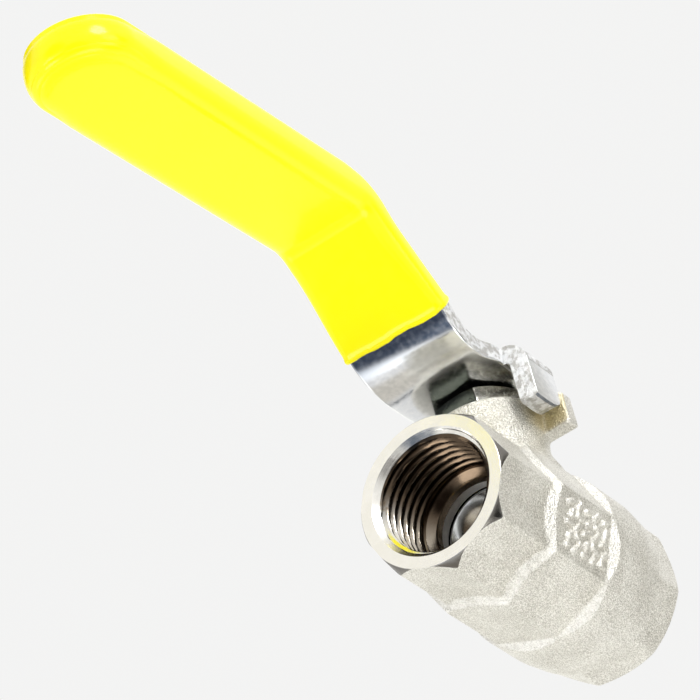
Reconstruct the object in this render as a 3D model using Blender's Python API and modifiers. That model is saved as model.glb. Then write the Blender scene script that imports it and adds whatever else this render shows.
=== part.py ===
"""Two-piece brass ball valve with octagonal female ends, a stop rib on the neck and a cranked lever.

The origin is the centre of the stem's top end, on the axis that the lever and the ball turn about.
+X runs along the flow bore to the front port, under the lever, +Z runs up the stem, and the valve is
open: the lever lies along the pipe. The heights below count from the centre of the ball, and every
piece hangs from an empty that sits there.
"""
import math

import bmesh
import bpy
from mathutils import Vector

mm = 0.001
GAP = 0.3 * mm                      # clearance left between pieces that touch
SPAN = 30 * mm                      # longer than any cut has to reach
ROUND = 56                          # sides of a large turned piece
MEDIUM_ROUND = 36
SMALL_ROUND = 32

# Flow bore, ball and seats
BALL_R = 11.6 * mm
BORE_R = 7.3 * mm
BORE_SIDES = 32
BORE_TURN = 2.0                     # degrees, keeps the bore's corners off the ball's meridians
SEAT_OUTER_R = 10.6 * mm
SEAT_LIP_R = 7.7 * mm
SEAT_NEAR = 8.3 * mm                # seat face towards the ball
SEAT_FAR = 10.9 * mm                # seat back
SLOT_HALF = 2.2 * mm                # slot across the top of the ball, along Y
SLOT_FLOOR = 8.7 * mm
CAVITY_R = 12.0 * mm
CAVITY_FRONT = 8.6 * mm
CAVITY_BACK = -9.4 * mm

# Body and ends
PORT_FRONT = 26.5 * mm
PORT_REAR = 27.4 * mm
END_CORNER_R = 13.5 * mm            # octagon of the ends, centre to corner
END_FACE_R = 12.95 * mm             # turned face of each port
END_CHAMFER = 1.6 * mm
THREAD_R = 9.9 * mm                 # G 1/2 female thread, a plain bore at about its pitch radius
MOUTH_R = 10.8 * mm
MOUTH_DEEP = 0.95 * mm
THREAD_DEPTH = 13.0 * mm
WATERWAY_R = 7.5 * mm
WATERWAY_STEP = 0.8 * mm
DRUM_R = 15.1 * mm
DRUM_FLAT = 13.8 * mm               # octagonal flats on the front half of the drum, centre to flat
DRUM_FRONT = 13.4 * mm
DRUM_SHOULDER = 11.0 * mm
DRUM_FRONT_R = 12.2 * mm
FLATS_BACK = -4.8 * mm
DRUM_TAPER = -14.5 * mm
DRUM_BACK = -19.4 * mm
DRUM_BACK_R = 14.4 * mm
CAP_CORNER_R = 13.9 * mm
CAP_TWIST = -19.7                   # degrees the screwed-in end cap stands away from the body's octagon

# Joint between body and end cap
JOINT_R = 12.9 * mm
JOINT_INNER = -10.2 * mm
CAP_NOSE = -8.8 * mm
CAP_NOSE_R = 11.5 * mm
GROOVE_R = 11.5 * mm
GROOVE_START = -18.1 * mm
SEAL_CENTRE_R = 12.2 * mm
SEAL_WIRE_R = 0.4 * mm
SEAL_X = -18.9 * mm

# Neck, stem and gland
NECK_R = 9.95 * mm
NECK_EDGE = 0.5 * mm
NECK_WAIST_R = 9.3 * mm
NECK_WAIST = 16.4 * mm
NECK_FOOT_R = 9.6 * mm
NECK_FOOT = 14.2 * mm
NECK_SKIRT_R = 11.0 * mm
NECK_SKIRT = 12.2 * mm
NECK_ROOT = 11.0 * mm
NECK_TOP = 23.3 * mm
COLLAR_R = 5.6 * mm
COLLAR_LOW = 12.0 * mm
COLLAR_TOP = 13.8 * mm
WASHER_THICK = 0.8 * mm
STEM_R = 4.0 * mm
STEM_BORE_R = 4.3 * mm
O_RING_LOW = 15.6 * mm              # groove round the stem
O_RING_TOP = 16.8 * mm
O_RING_FLOOR_R = 3.1 * mm
O_RING_CENTRE_R = 3.7 * mm
O_RING_WIRE_R = 0.42 * mm
PACKING_R = 6.2 * mm
PACKING_FLOOR = 17.9 * mm
PACKING_THICK = 1.15 * mm
FOLLOWER_THICK = 0.6 * mm
GLAND_HEX = 14.0 * mm               # across flats
GLAND_TURN = -65.0
GLAND_LOW = 23.6 * mm
GLAND_TOP = 27.5 * mm
GLAND_SPIGOT = 21.9 * mm
GLAND_BEVEL = 0.65 * mm
TANG_HALF = 1.85 * mm
TANG_WIDTH = 8.0 * mm
TANG_LOW = 9.0 * mm
STEM_FLAT = 2.9 * mm                # half distance between the flats that drive the lever
THREAD_TOP_R = 3.0 * mm
STEM_TOP = 39.0 * mm

# Stop rib on the neck
RIB_FRONT = -1.6 * mm
RIB_REAR = -4.6 * mm
RIB_ROOT = 7.5 * mm
RIB_END = 14.0 * mm
RIB_LOW = 18.3 * mm
RIB_TOP = 24.0 * mm
RIB_EDGE = 0.7 * mm

# Lever: underside line of a bent plate
PLATE = 3.3 * mm
HUB_UNDER = 28.0 * mm
HUB_BACK = -12.3 * mm
SLOPE_START = 17.7 * mm
SLOPE = 42.9                        # degrees
SLOPE_BEND = 11.2 * mm
KNEE_X = 37.5 * mm
KNEE_BEND = 4.0 * mm
HANDLE_DROOP = 4.4                  # degrees
LEVER_TIP = 110.2 * mm
HALF_WIDTH = 8.7 * mm
HUB_HALF = 9.8 * mm
TIP_CORNER = 8.2 * mm
TIP_WALL = 5.0 * mm                 # the channel runs out over this length before the tip
# Height of the upturned edges above the plate's top, as (distance past the slope's start, height) in mm
FLANGE_RISE = ((-3.0, 0.1), (13.0, 1.0), (24.0, 1.4), (36.0, 3.2))
NECKING = (11.0 * mm, 26.0 * mm)    # distances over which the plate narrows from the hub's width
SLOPE_HALF = 9.2 * mm
LEVER_SIDE = -0.25 * mm             # the handle's middle line lies this far towards -Y
PLATE_CORNER = 1.1 * mm
HUB_RINGS = (-5.5, -2.5, 0.0, 2.1, 4.2, 6.3, 8.4)                               # mm past the slope's start
HANDLE_RINGS = (13.0, 17.0, 24.0, 28.9, 30.0, 31.1, 32.2, 33.2, 36.0, 45.0)     # mm, past the grip's mouth
# Outline of the hub in front of the side tab, as (x, -Y edge, +Y edge) in mm
HUB_SHOULDER = ((8.6, -9.6, 9.4), (10.2, -9.3, 8.7))
HUB_ROUND = (-9.6, 9.6)             # (x, half width) where the hub's rear corners begin, mm
BURIED = 0.02 * mm                  # the handle lies this much below the hub so the two join cleanly
TAB_FRONT = 7.0 * mm
TAB_REAR = -1.2 * mm
TAB_INNER = 10.6 * mm
TAB_LOW = 19.8 * mm
BACK_TAB_EDGE = -5.0 * mm           # side of the rear tab that meets the rib when the valve is closed
BACK_TAB_FAR = -8.4 * mm
BACK_TAB_INNER = -12.9 * mm
TAB_BEND = 1.0 * mm

# Fasteners on top
LOCK_WASHER_R = 5.0 * mm
LOCK_WASHER_THICK = 1.2 * mm
HANDLE_NUT_HEX = 10.0 * mm
HANDLE_NUT_HIGH = 4.8 * mm
HANDLE_NUT_BEVEL = 0.5 * mm
HANDLE_NUT_TURN = 12.0

# Grip: coating on the lever
COAT = 0.5 * mm
MOUTH_AT = 10.5 * mm                # distance past the slope's start


def clear_scene():
    for item in list(bpy.data.objects):
        bpy.data.objects.remove(item, do_unlink=True)


def make_collection(name):
    group = bpy.data.collections.new(name)
    bpy.context.scene.collection.children.link(group)
    return group


clear_scene()
PARTS = make_collection("ball_valve")
CUTTERS = make_collection("ball_valve_cutters")
BALL_CENTRE = bpy.data.objects.new("ball_centre", None)
BALL_CENTRE.location = (0.0, 0.0, -STEM_TOP)
PARTS.objects.link(BALL_CENTRE)


def material(name, colour, roughness, metallic):
    mat = bpy.data.materials.new(name)
    mat.use_nodes = True
    shader = mat.node_tree.nodes["Principled BSDF"]
    shader.inputs["Base Color"].default_value = (*colour, 1.0)
    shader.inputs["Roughness"].default_value = roughness
    shader.inputs["Metallic"].default_value = metallic
    return mat


def add_object(name, mesh, group):
    item = bpy.data.objects.new(name, mesh)
    group.objects.link(item)
    item.parent = BALL_CENTRE
    if group is CUTTERS:
        item.hide_render = True
        item.display_type = "WIRE"
    return item


def from_bmesh(name, bm, group):
    bmesh.ops.recalc_face_normals(bm, faces=bm.faces)
    mesh = bpy.data.meshes.new(name)
    bm.to_mesh(mesh)
    bm.free()
    return add_object(name, mesh, group)


def turned(name, profile, group, steps=ROUND, along_x=False, ring=False):
    """Screw a profile of (radius, height) points about Z, or about X where height is x.

    The profile runs down the outer side; ring closes it for a piece with a hole in the middle.
    """
    mesh = bpy.data.meshes.new(name)
    points = [(radius, 0.0, height) for radius, height in profile]
    links = [(i, i + 1) for i in range(len(points) - 1)]
    if ring:
        links.append((len(points) - 1, 0))
    mesh.from_pydata(points, links, [])
    item = add_object(name, mesh, group)
    screw = item.modifiers.new("turn", "SCREW")
    screw.axis = "Z"
    screw.angle = math.tau
    screw.steps = steps
    screw.render_steps = steps
    screw.use_merge_vertices = True
    screw.merge_threshold = 0.00001
    if along_x:
        item.rotation_euler = (0.0, math.radians(90.0), 0.0)
    return item


def prism(name, sides, corner_r, low, high, group, turn=0.0, along_x=False):
    """A regular prism with its first corner on +Y, turned by degrees about Z or about X."""
    bm = bmesh.new()
    bmesh.ops.create_cone(bm, cap_ends=True, segments=sides, radius1=corner_r, radius2=corner_r,
                          depth=high - low)
    bmesh.ops.translate(bm, verts=bm.verts, vec=(0.0, 0.0, (high + low) / 2))
    item = from_bmesh(name, bm, group)
    if along_x:
        item.rotation_euler = (0.0, math.radians(90.0), 0.0)
        item.rotation_euler.rotate_axis("Z", math.radians(turn))
    else:
        item.rotation_euler = (0.0, 0.0, math.radians(turn))
    return item


def box(name, low, high, group):
    bm = bmesh.new()
    bmesh.ops.create_cube(bm, size=1.0)
    bmesh.ops.scale(bm, verts=bm.verts, vec=Vector(high) - Vector(low))
    bmesh.ops.translate(bm, verts=bm.verts, vec=(Vector(high) + Vector(low)) / 2)
    return from_bmesh(name, bm, group)


def combine(item, other, operation):
    step = item.modifiers.new(operation.lower(), "BOOLEAN")
    step.operation = operation
    step.solver = "EXACT"
    step.object = other


def finish(item, mat, smooth_angle=32.0):
    """Apply the modifiers, shade round surfaces smooth and give the piece its material."""
    graph = bpy.context.evaluated_depsgraph_get()
    graph.update()
    mesh = bpy.data.meshes.new_from_object(item.evaluated_get(graph), depsgraph=graph)
    mesh.name = item.name
    item.modifiers.clear()
    item.data = mesh
    mesh.shade_smooth()
    mesh.set_sharp_from_angle(angle=math.radians(smooth_angle))
    mesh.materials.clear()
    mesh.materials.append(mat)


def make_ring(name, outer, inner, low, high, mat):
    outline = [(outer, high), (outer, low), (inner, low), (inner, high)]
    finish(turned(name, outline, PARTS, steps=SMALL_ROUND, ring=True), mat)


def make_o_ring(name, centre_r, wire_r, height, mat, along_x=False):
    angles = [math.tau * (0.25 - i / 8) for i in range(8)]
    circle = [(centre_r + wire_r * math.cos(a), height + wire_r * math.sin(a)) for a in angles]
    finish(turned(name, circle, PARTS, steps=MEDIUM_ROUND, along_x=along_x, ring=True), mat)


# ---------------------------------------------------------------- body and end cap

def octagon_end(name, near, face, corner_r, group, twist=0.0):
    """One octagonal end along X, its outer edge turned down to the round port face."""
    sign = 1.0 if face > 0 else -1.0
    rise = corner_r + 0.1 * mm
    outline = [(0.0, face), (END_FACE_R, face), (rise, face - sign * END_CHAMFER), (rise, near), (0.0, near)]
    if sign < 0:
        outline.reverse()
    end = turned(name, outline, group, along_x=True)
    low, high = sorted((near - 2 * sign * mm, face + sign * mm))
    flats = prism(name + "_flats", 8, corner_r, low, high, CUTTERS, turn=twist, along_x=True)
    combine(end, flats, "INTERSECT")
    return end


def port_cutter(name, face):
    """Threaded mouth, waterway and seat pocket of one end, as one turned cutter along X."""
    sign = 1.0 if face > 0 else -1.0
    bottom = face - sign * THREAD_DEPTH
    step = bottom - sign * WATERWAY_STEP
    pocket = sign * (SEAT_FAR + GAP)
    inside = sign * SEAT_NEAR / 2
    outside = face + sign * mm
    flare = MOUTH_R + (MOUTH_R - THREAD_R) * mm / MOUTH_DEEP
    outline = [
        (0.0, outside), (flare, outside), (THREAD_R, face - sign * MOUTH_DEEP), (THREAD_R, bottom),
        (WATERWAY_R, step), (WATERWAY_R, pocket), (SEAT_OUTER_R + GAP, pocket),
        (SEAT_OUTER_R + GAP, inside), (0.0, inside)]
    if sign < 0:
        outline.reverse()
    return turned(name, outline, CUTTERS, along_x=True)


def drum_flats_cutter():
    """Everything outside the octagon, over the front half of the drum."""
    outline = [(DRUM_R + 4 * mm, DRUM_FRONT + mm), (DRUM_R + 4 * mm, FLATS_BACK),
               (CAVITY_R, FLATS_BACK), (CAVITY_R, DRUM_FRONT + mm)]
    cutter = turned("drum_flats", outline, CUTTERS, along_x=True, ring=True)
    corner_r = DRUM_FLAT / math.cos(math.pi / 8)
    keep = prism("drum_flats_keep", 8, corner_r, FLATS_BACK - mm, DRUM_FRONT + 2 * mm, CUTTERS, along_x=True)
    combine(cutter, keep, "DIFFERENCE")
    return cutter


def make_body(mat):
    drum = turned("body", [
        (0.0, DRUM_FRONT), (DRUM_FRONT_R, DRUM_FRONT), (DRUM_R, DRUM_SHOULDER), (DRUM_R, DRUM_TAPER),
        (DRUM_BACK_R, DRUM_BACK), (0.0, DRUM_BACK)], PARTS, along_x=True)
    combine(drum, drum_flats_cutter(), "DIFFERENCE")
    combine(drum, octagon_end("front_end", DRUM_SHOULDER - mm, PORT_FRONT, END_CORNER_R, CUTTERS), "UNION")
    neck = turned("neck", [
        (0.0, NECK_TOP), (NECK_R - NECK_EDGE, NECK_TOP), (NECK_R, NECK_TOP - NECK_EDGE),
        (NECK_WAIST_R, NECK_WAIST), (NECK_FOOT_R, NECK_FOOT), (NECK_SKIRT_R, NECK_SKIRT),
        (NECK_SKIRT_R, NECK_ROOT), (0.0, NECK_ROOT)], CUTTERS)
    combine(drum, neck, "UNION")
    rib = box("rib", (RIB_REAR, RIB_ROOT, RIB_LOW), (RIB_FRONT, RIB_END, RIB_TOP), CUTTERS)
    bevel = rib.modifiers.new("edges", "BEVEL")
    bevel.width = RIB_EDGE
    bevel.segments = 2
    combine(drum, rib, "UNION")
    combine(drum, port_cutter("front_port", PORT_FRONT), "DIFFERENCE")
    cavity = turned("cavity", [
        (0.0, CAVITY_FRONT), (CAVITY_R - 1.5 * mm, CAVITY_FRONT), (CAVITY_R, CAVITY_FRONT - 1.5 * mm),
        (CAVITY_R, CAVITY_BACK), (JOINT_R, JOINT_INNER), (JOINT_R, DRUM_BACK - mm), (0.0, DRUM_BACK - mm)],
        CUTTERS, along_x=True)
    combine(drum, cavity, "DIFFERENCE")
    washer_seat = COLLAR_TOP + WASHER_THICK + 2 * GAP
    stem_bore = turned("stem_bore", [
        (0.0, NECK_TOP + mm), (PACKING_R, NECK_TOP + mm), (PACKING_R, PACKING_FLOOR),
        (STEM_BORE_R, PACKING_FLOOR), (STEM_BORE_R, washer_seat), (COLLAR_R + GAP, washer_seat),
        (COLLAR_R + GAP, TANG_LOW), (0.0, TANG_LOW)], CUTTERS, steps=SMALL_ROUND)
    combine(drum, stem_bore, "DIFFERENCE")
    finish(drum, mat)


def make_end_cap(mat):
    head = octagon_end("end_cap", DRUM_BACK - GAP, -PORT_REAR, CAP_CORNER_R, PARTS, twist=CAP_TWIST)
    screwed = turned("cap_thread", [
        (0.0, CAP_NOSE), (CAP_NOSE_R, CAP_NOSE), (JOINT_R - GAP, JOINT_INNER - 2 * GAP),
        (JOINT_R - GAP, GROOVE_START), (GROOVE_R, GROOVE_START), (GROOVE_R, DRUM_BACK - mm),
        (0.0, DRUM_BACK - mm)], CUTTERS, along_x=True)
    combine(head, screwed, "UNION")
    combine(head, port_cutter("rear_port", -PORT_REAR), "DIFFERENCE")
    finish(head, mat)


# ---------------------------------------------------------------- ball and seats

def make_ball(mat):
    arc = [(BALL_R * math.sin(math.pi * i / 18), BALL_R * math.cos(math.pi * i / 18)) for i in range(19)]
    arc[0] = (0.0, BALL_R)
    arc[-1] = (0.0, -BALL_R)
    ball = turned("ball", arc, PARTS, steps=MEDIUM_ROUND, along_x=True)
    bore = prism("ball_bore", BORE_SIDES, BORE_R, -SPAN, SPAN, CUTTERS, turn=BORE_TURN, along_x=True)
    combine(ball, bore, "DIFFERENCE")
    slot = box("ball_slot", (-SLOT_HALF, -BALL_R, SLOT_FLOOR), (SLOT_HALF, BALL_R, SPAN), CUTTERS)
    combine(ball, slot, "DIFFERENCE")
    finish(ball, mat)


def make_seat(name, sign, mat):
    """Ring with a spherical face that stands a little off the ball."""
    reach = BALL_R + GAP
    rim = math.sqrt(reach ** 2 - SEAT_NEAR ** 2)
    radii = [SEAT_LIP_R + (rim - SEAT_LIP_R) * i / 4 for i in range(5)]
    face = [(radius, sign * math.sqrt(reach ** 2 - radius ** 2)) for radius in radii]
    outline = face + [(SEAT_OUTER_R, sign * SEAT_NEAR), (SEAT_OUTER_R, sign * SEAT_FAR),
                      (SEAT_LIP_R, sign * SEAT_FAR)]
    if sign > 0:
        outline.reverse()
    finish(turned(name, outline, PARTS, steps=MEDIUM_ROUND, along_x=True, ring=True), mat)


# ---------------------------------------------------------------- stem and gland

def make_stem(mat):
    hub_top = HUB_UNDER + PLATE - BURIED
    stem = turned("stem", [
        (0.0, STEM_TOP), (THREAD_TOP_R - 0.6 * mm, STEM_TOP), (THREAD_TOP_R, STEM_TOP - 0.6 * mm),
        (THREAD_TOP_R, hub_top), (STEM_R, hub_top), (STEM_R, O_RING_TOP), (O_RING_FLOOR_R, O_RING_TOP),
        (O_RING_FLOOR_R, O_RING_LOW), (STEM_R, O_RING_LOW), (STEM_R, COLLAR_TOP), (COLLAR_R, COLLAR_TOP),
        (COLLAR_R, COLLAR_LOW), (0.0, COLLAR_LOW)], PARTS, steps=SMALL_ROUND)
    for sign in (-1.0, 1.0):
        near, far = sorted((sign * STEM_FLAT, sign * 2 * STEM_R))
        flat = box("stem_flat", (near, -2 * STEM_R, HUB_UNDER - GAP), (far, 2 * STEM_R, hub_top + mm),
                   CUTTERS)
        combine(stem, flat, "DIFFERENCE")
    tang = box("stem_tang", (-TANG_HALF, -TANG_WIDTH / 2, TANG_LOW),
               (TANG_HALF, TANG_WIDTH / 2, COLLAR_LOW + mm), CUTTERS)
    combine(stem, tang, "UNION")
    finish(stem, mat)


def hex_blank(name, across, low, high, bevel_low, bevel_high, turn):
    """Hexagon with its corners turned down at the chosen ends."""
    corner_r = across / math.sqrt(3)
    rise = corner_r + 0.1 * mm
    nut = turned(name, [
        (0.0, high), (across / 2, high), (rise, high - bevel_high), (rise, low + bevel_low),
        (across / 2 if bevel_low else rise - 0.05 * mm, low), (0.0, low)], PARTS, steps=MEDIUM_ROUND)
    flats = prism(name + "_flats", 6, corner_r, low - mm, high + mm, CUTTERS, turn=turn)
    combine(nut, flats, "INTERSECT")
    return nut


def make_gland_nut(mat):
    nut = hex_blank("gland_nut", GLAND_HEX, GLAND_LOW, GLAND_TOP, 0.0, GLAND_BEVEL, GLAND_TURN)
    spigot = turned("gland_spigot", [
        (0.0, GLAND_LOW + mm), (PACKING_R - GAP, GLAND_LOW + mm), (PACKING_R - GAP, GLAND_SPIGOT),
        (0.0, GLAND_SPIGOT)], CUTTERS, steps=SMALL_ROUND)
    combine(nut, spigot, "UNION")
    bore = prism("gland_bore", SMALL_ROUND, STEM_BORE_R, 0.0, SPAN, CUTTERS)
    combine(nut, bore, "DIFFERENCE")
    finish(nut, mat)


def make_handle_nut(mat):
    low = HUB_UNDER + PLATE + LOCK_WASHER_THICK + 2 * GAP
    high = low + HANDLE_NUT_HIGH
    nut = hex_blank("handle_nut", HANDLE_NUT_HEX, low, high, HANDLE_NUT_BEVEL, HANDLE_NUT_BEVEL,
                    HANDLE_NUT_TURN)
    bore = prism("handle_nut_bore", SMALL_ROUND, THREAD_TOP_R + GAP, low - mm, high + mm, CUTTERS)
    combine(nut, bore, "DIFFERENCE")
    finish(nut, mat)


# ---------------------------------------------------------------- lever and grip

def lever_line():
    """Underside line of the lever as (x, z, direction) points, with its two bends rounded."""
    slope = math.radians(SLOPE)
    droop = math.radians(-HANDLE_DROOP)
    knee_z = HUB_UNDER + (KNEE_X - SLOPE_START) * math.tan(slope)
    tip_z = knee_z + (LEVER_TIP - KNEE_X) * math.tan(droop)
    corners = [(SLOPE_START, HUB_UNDER, 0.0, slope, SLOPE_BEND), (KNEE_X, knee_z, slope, droop, KNEE_BEND)]
    line = []
    for x, z, before, after, radius in corners:
        swing = after - before
        tangent = radius * math.tan(abs(swing) / 2)
        start = Vector((x - tangent * math.cos(before), z - tangent * math.sin(before)))
        side = 1.0 if swing > 0 else -1.0
        centre = start + Vector((-math.sin(before), math.cos(before))) * radius * side
        for i in range(5):
            angle = before + swing * i / 4
            point = centre - Vector((-math.sin(angle), math.cos(angle))) * radius * side
            line.append((point.x, point.y, angle))
    line.append((LEVER_TIP, tip_z, droop))
    return line


LINE = lever_line()
LENGTH = sum(math.hypot(b[0] - a[0], b[1] - a[1]) for a, b in zip(LINE, LINE[1:]))


def along(distance):
    """Point and direction of the underside at a distance past the slope's start."""
    x, z, angle = LINE[0]
    if distance < 0:
        return x + distance, z, angle
    travelled = 0.0
    for (x0, z0, a0), (x1, z1, a1) in zip(LINE, LINE[1:]):
        step = math.hypot(x1 - x0, z1 - z0)
        if travelled + step >= distance:
            part = (distance - travelled) / step
            return x0 + (x1 - x0) * part, z0 + (z1 - z0) * part, a0 + (a1 - a0) * part
        travelled += step
    x, z, angle = LINE[-1]
    extra = distance - travelled
    return x + extra * math.cos(angle), z + extra * math.sin(angle), angle


def flange_at(distance):
    """Height of the upturned edge above the plate's top."""
    (low, height), *rest = [(at * mm, high * mm) for at, high in FLANGE_RISE]
    for high, top in rest:
        if distance < high:
            return height + (top - height) * max(0.0, (distance - low) / (high - low))
        low, height = high, top
    return height


def half_at(distance):
    """Half width of the lever, which narrows up the slope."""
    low, high = NECKING
    share = min(1.0, max(0.0, (distance - low) / (high - low)))
    return SLOPE_HALF + (HALF_WIDTH - SLOPE_HALF) * share


def handle_stations(grow):
    """(distance, half width, fill) down the handle for a skin grown outwards by grow.

    The far end's plan corners are arcs about the same centres for every skin, and the channel
    between the upturned edges fills up to their height there.
    """
    rings = [MOUTH_AT] + [s * mm for s in HANDLE_RINGS]
    stations = [(distance, half_at(distance), 0.0) for distance in rings]
    start = stations[-1][0]
    straight_end = LENGTH - TIP_CORNER
    wall_end = straight_end - mm - grow
    plain = wall_end - TIP_WALL - start
    stations += [(start + plain * i / 4, HALF_WIDTH, 0.0) for i in range(1, 5)]
    stations += [(wall_end, HALF_WIDTH, 1.0), (straight_end, HALF_WIDTH, 1.0)]
    reach = TIP_CORNER + grow
    for i in range(1, 6):
        angle = math.pi / 2 * i / 5
        half = HALF_WIDTH - TIP_CORNER + reach * math.cos(angle) - grow
        stations.append((straight_end + reach * math.sin(angle), half, 1.0))
    return stations


def channel_section(half, flange, grow, fill):
    """Cross-section of the handle: plate with upturned edges, grown outwards by a coating thickness."""
    side = half + grow
    rim = PLATE + flange + grow
    floor = PLATE + grow + fill * flange
    inner = min(max(max(half - PLATE, 0.8 * mm) - grow, 0.15 * mm), 0.5 * side)
    corner = min(PLATE_CORNER + grow, 0.6 * side)
    edge = min(0.45 * (PLATE + 2 * grow), (side - inner) / 2.2)
    drop = min(edge, rim - floor)
    right = [
        (side - corner, -grow), (side - 0.3 * corner, -grow + 0.3 * corner), (side, -grow + corner),
        (side, rim - edge), (side - 0.3 * edge, rim - 0.3 * edge), (side - edge, rim),
        (inner + edge, rim), (inner + 0.3 * edge, rim - 0.3 * drop), (inner, rim - drop),
        (0.7 * inner, floor)]
    left = [(-y, z) for y, z in reversed(right)]
    return right + left


def station_ring(distance, half, grow, fill=0.0, sink=0.0):
    """The cross-section placed square to the lever's line at one distance."""
    x, z, angle = along(distance)
    ring = []
    for y, up in channel_section(half, flange_at(distance), grow, fill):
        lift = up - sink
        ring.append(Vector((x - lift * math.sin(angle), y + LEVER_SIDE, z + lift * math.cos(angle))))
    return ring


def is_flat(corners):
    a, b, c, d = (vert.co for vert in corners)
    normal = (c - a).cross(d - b).normalized()
    return abs(normal.dot(b - a)) < 0.001 * mm


def loft(name, rings, group):
    """Closed solid through rings of equal point count, with a flat cap on each end.

    Twisted four-sided faces are split along the same diagonal whichever way the rings run, so that
    nested skins stay parallel.
    """
    bm = bmesh.new()
    rows = [[bm.verts.new(point) for point in ring] for ring in rings]
    count = len(rows[0])
    for low, high in zip(rows, rows[1:]):
        near, far = (low, high) if low[0].co.x < high[0].co.x else (high, low)
        for i in range(count):
            corners = (near[i], near[(i + 1) % count], far[(i + 1) % count], far[i])
            if is_flat(corners):
                bm.faces.new(corners)
            else:
                bm.faces.new(corners[:3])
                bm.faces.new((corners[0], corners[2], corners[3]))
    bm.faces.new(rows[0])
    bm.faces.new(rows[-1])
    return from_bmesh(name, bm, group)


def fold_down(bm, edge, path):
    """Hang a strip of faces on a row of vertices; path gives the points of each further row."""
    for points in path:
        fresh = [bm.verts.new(point) for point in points]
        for i in range(len(edge) - 1):
            bm.faces.new((edge[i], edge[i + 1], fresh[i + 1], fresh[i]))
        edge = fresh


def hub_sheet():
    """Underside of the hub plate with its two stop tabs, as an open sheet to be given thickness."""
    bm = bmesh.new()
    stations = [
        (HUB_BACK, BACK_TAB_FAR, -BACK_TAB_FAR - mm),
        (HUB_ROUND[0] * mm, -HUB_ROUND[1] * mm, HUB_ROUND[1] * mm), (TAB_REAR, -HUB_HALF, HUB_HALF),
        ((TAB_REAR + TAB_FRONT) / 2, -HUB_HALF, HUB_HALF), (TAB_FRONT, -HUB_HALF, HUB_HALF)]
    stations += [(x * mm, left * mm, right * mm) for x, left, right in HUB_SHOULDER]
    rows = []
    for x, left, right in stations:
        columns = (left, BACK_TAB_EDGE, 0.0, -BACK_TAB_EDGE, right)
        rows.append([bm.verts.new((x, y, HUB_UNDER)) for y in columns])
    for low, high in zip(rows, rows[1:]):
        for i in range(4):
            bm.faces.new((low[i], high[i], high[i + 1], low[i + 1]))
    tab = [row[-1] for row in rows if TAB_REAR - GAP < row[-1].co.x < TAB_FRONT + GAP]
    path = [(TAB_INNER - 0.25 * TAB_BEND, HUB_UNDER - 0.3 * TAB_BEND), (TAB_INNER, HUB_UNDER - TAB_BEND),
            (TAB_INNER, TAB_LOW)]
    fold_down(bm, tab, [[(vert.co.x, y, z) for vert in tab] for y, z in path])
    back = rows[0][:2]
    path = [(BACK_TAB_INNER + 0.25 * TAB_BEND, HUB_UNDER - 0.3 * TAB_BEND),
            (BACK_TAB_INNER, HUB_UNDER - TAB_BEND), (BACK_TAB_INNER, TAB_LOW)]
    fold_down(bm, back, [[(x, vert.co.y, z) for vert in back] for x, z in path])
    bmesh.ops.recalc_face_normals(bm, faces=bm.faces)
    if sum(face.normal.z for face in bm.faces) > 0:
        bmesh.ops.reverse_faces(bm, faces=bm.faces)
    mesh = bpy.data.meshes.new("lever")
    bm.to_mesh(mesh)
    bm.free()
    return mesh


def make_lever(mat):
    lever = add_object("lever", hub_sheet(), PARTS)
    shell = lever.modifiers.new("plate", "SOLIDIFY")
    shell.thickness = PLATE - 2 * BURIED
    shell.offset = -1.0
    shell.use_even_offset = True
    rings = [station_ring(s * mm, SLOPE_HALF, 0.0, sink=BURIED) for s in HUB_RINGS]
    rings += [station_ring(distance, half, 0.0, fill) for distance, half, fill in handle_stations(0.0)]
    combine(lever, loft("lever_handle", rings, CUTTERS), "UNION")
    hole = prism("lever_hole", SMALL_ROUND, STEM_R + GAP, HUB_UNDER - mm, HUB_UNDER + 2 * PLATE, CUTTERS)
    keep = box("lever_hole_flats", (-STEM_FLAT - GAP, -2 * STEM_R, HUB_UNDER - 2 * mm),
               (STEM_FLAT + GAP, 2 * STEM_R, HUB_UNDER + 3 * PLATE), CUTTERS)
    combine(hole, keep, "INTERSECT")
    combine(lever, hole, "DIFFERENCE")
    finish(lever, mat)


def make_grip(mat):
    """Coating over the handle: one skin outside, one a hair off the lever, joined at the mouth."""
    inner = [station_ring(distance, half, GAP, fill) for distance, half, fill in handle_stations(GAP)]
    skin = GAP + COAT
    outer = [station_ring(distance, half, skin, fill) for distance, half, fill in handle_stations(skin)]
    inner.reverse()
    finish(loft("grip_sleeve", inner + outer, PARTS), mat)


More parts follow.
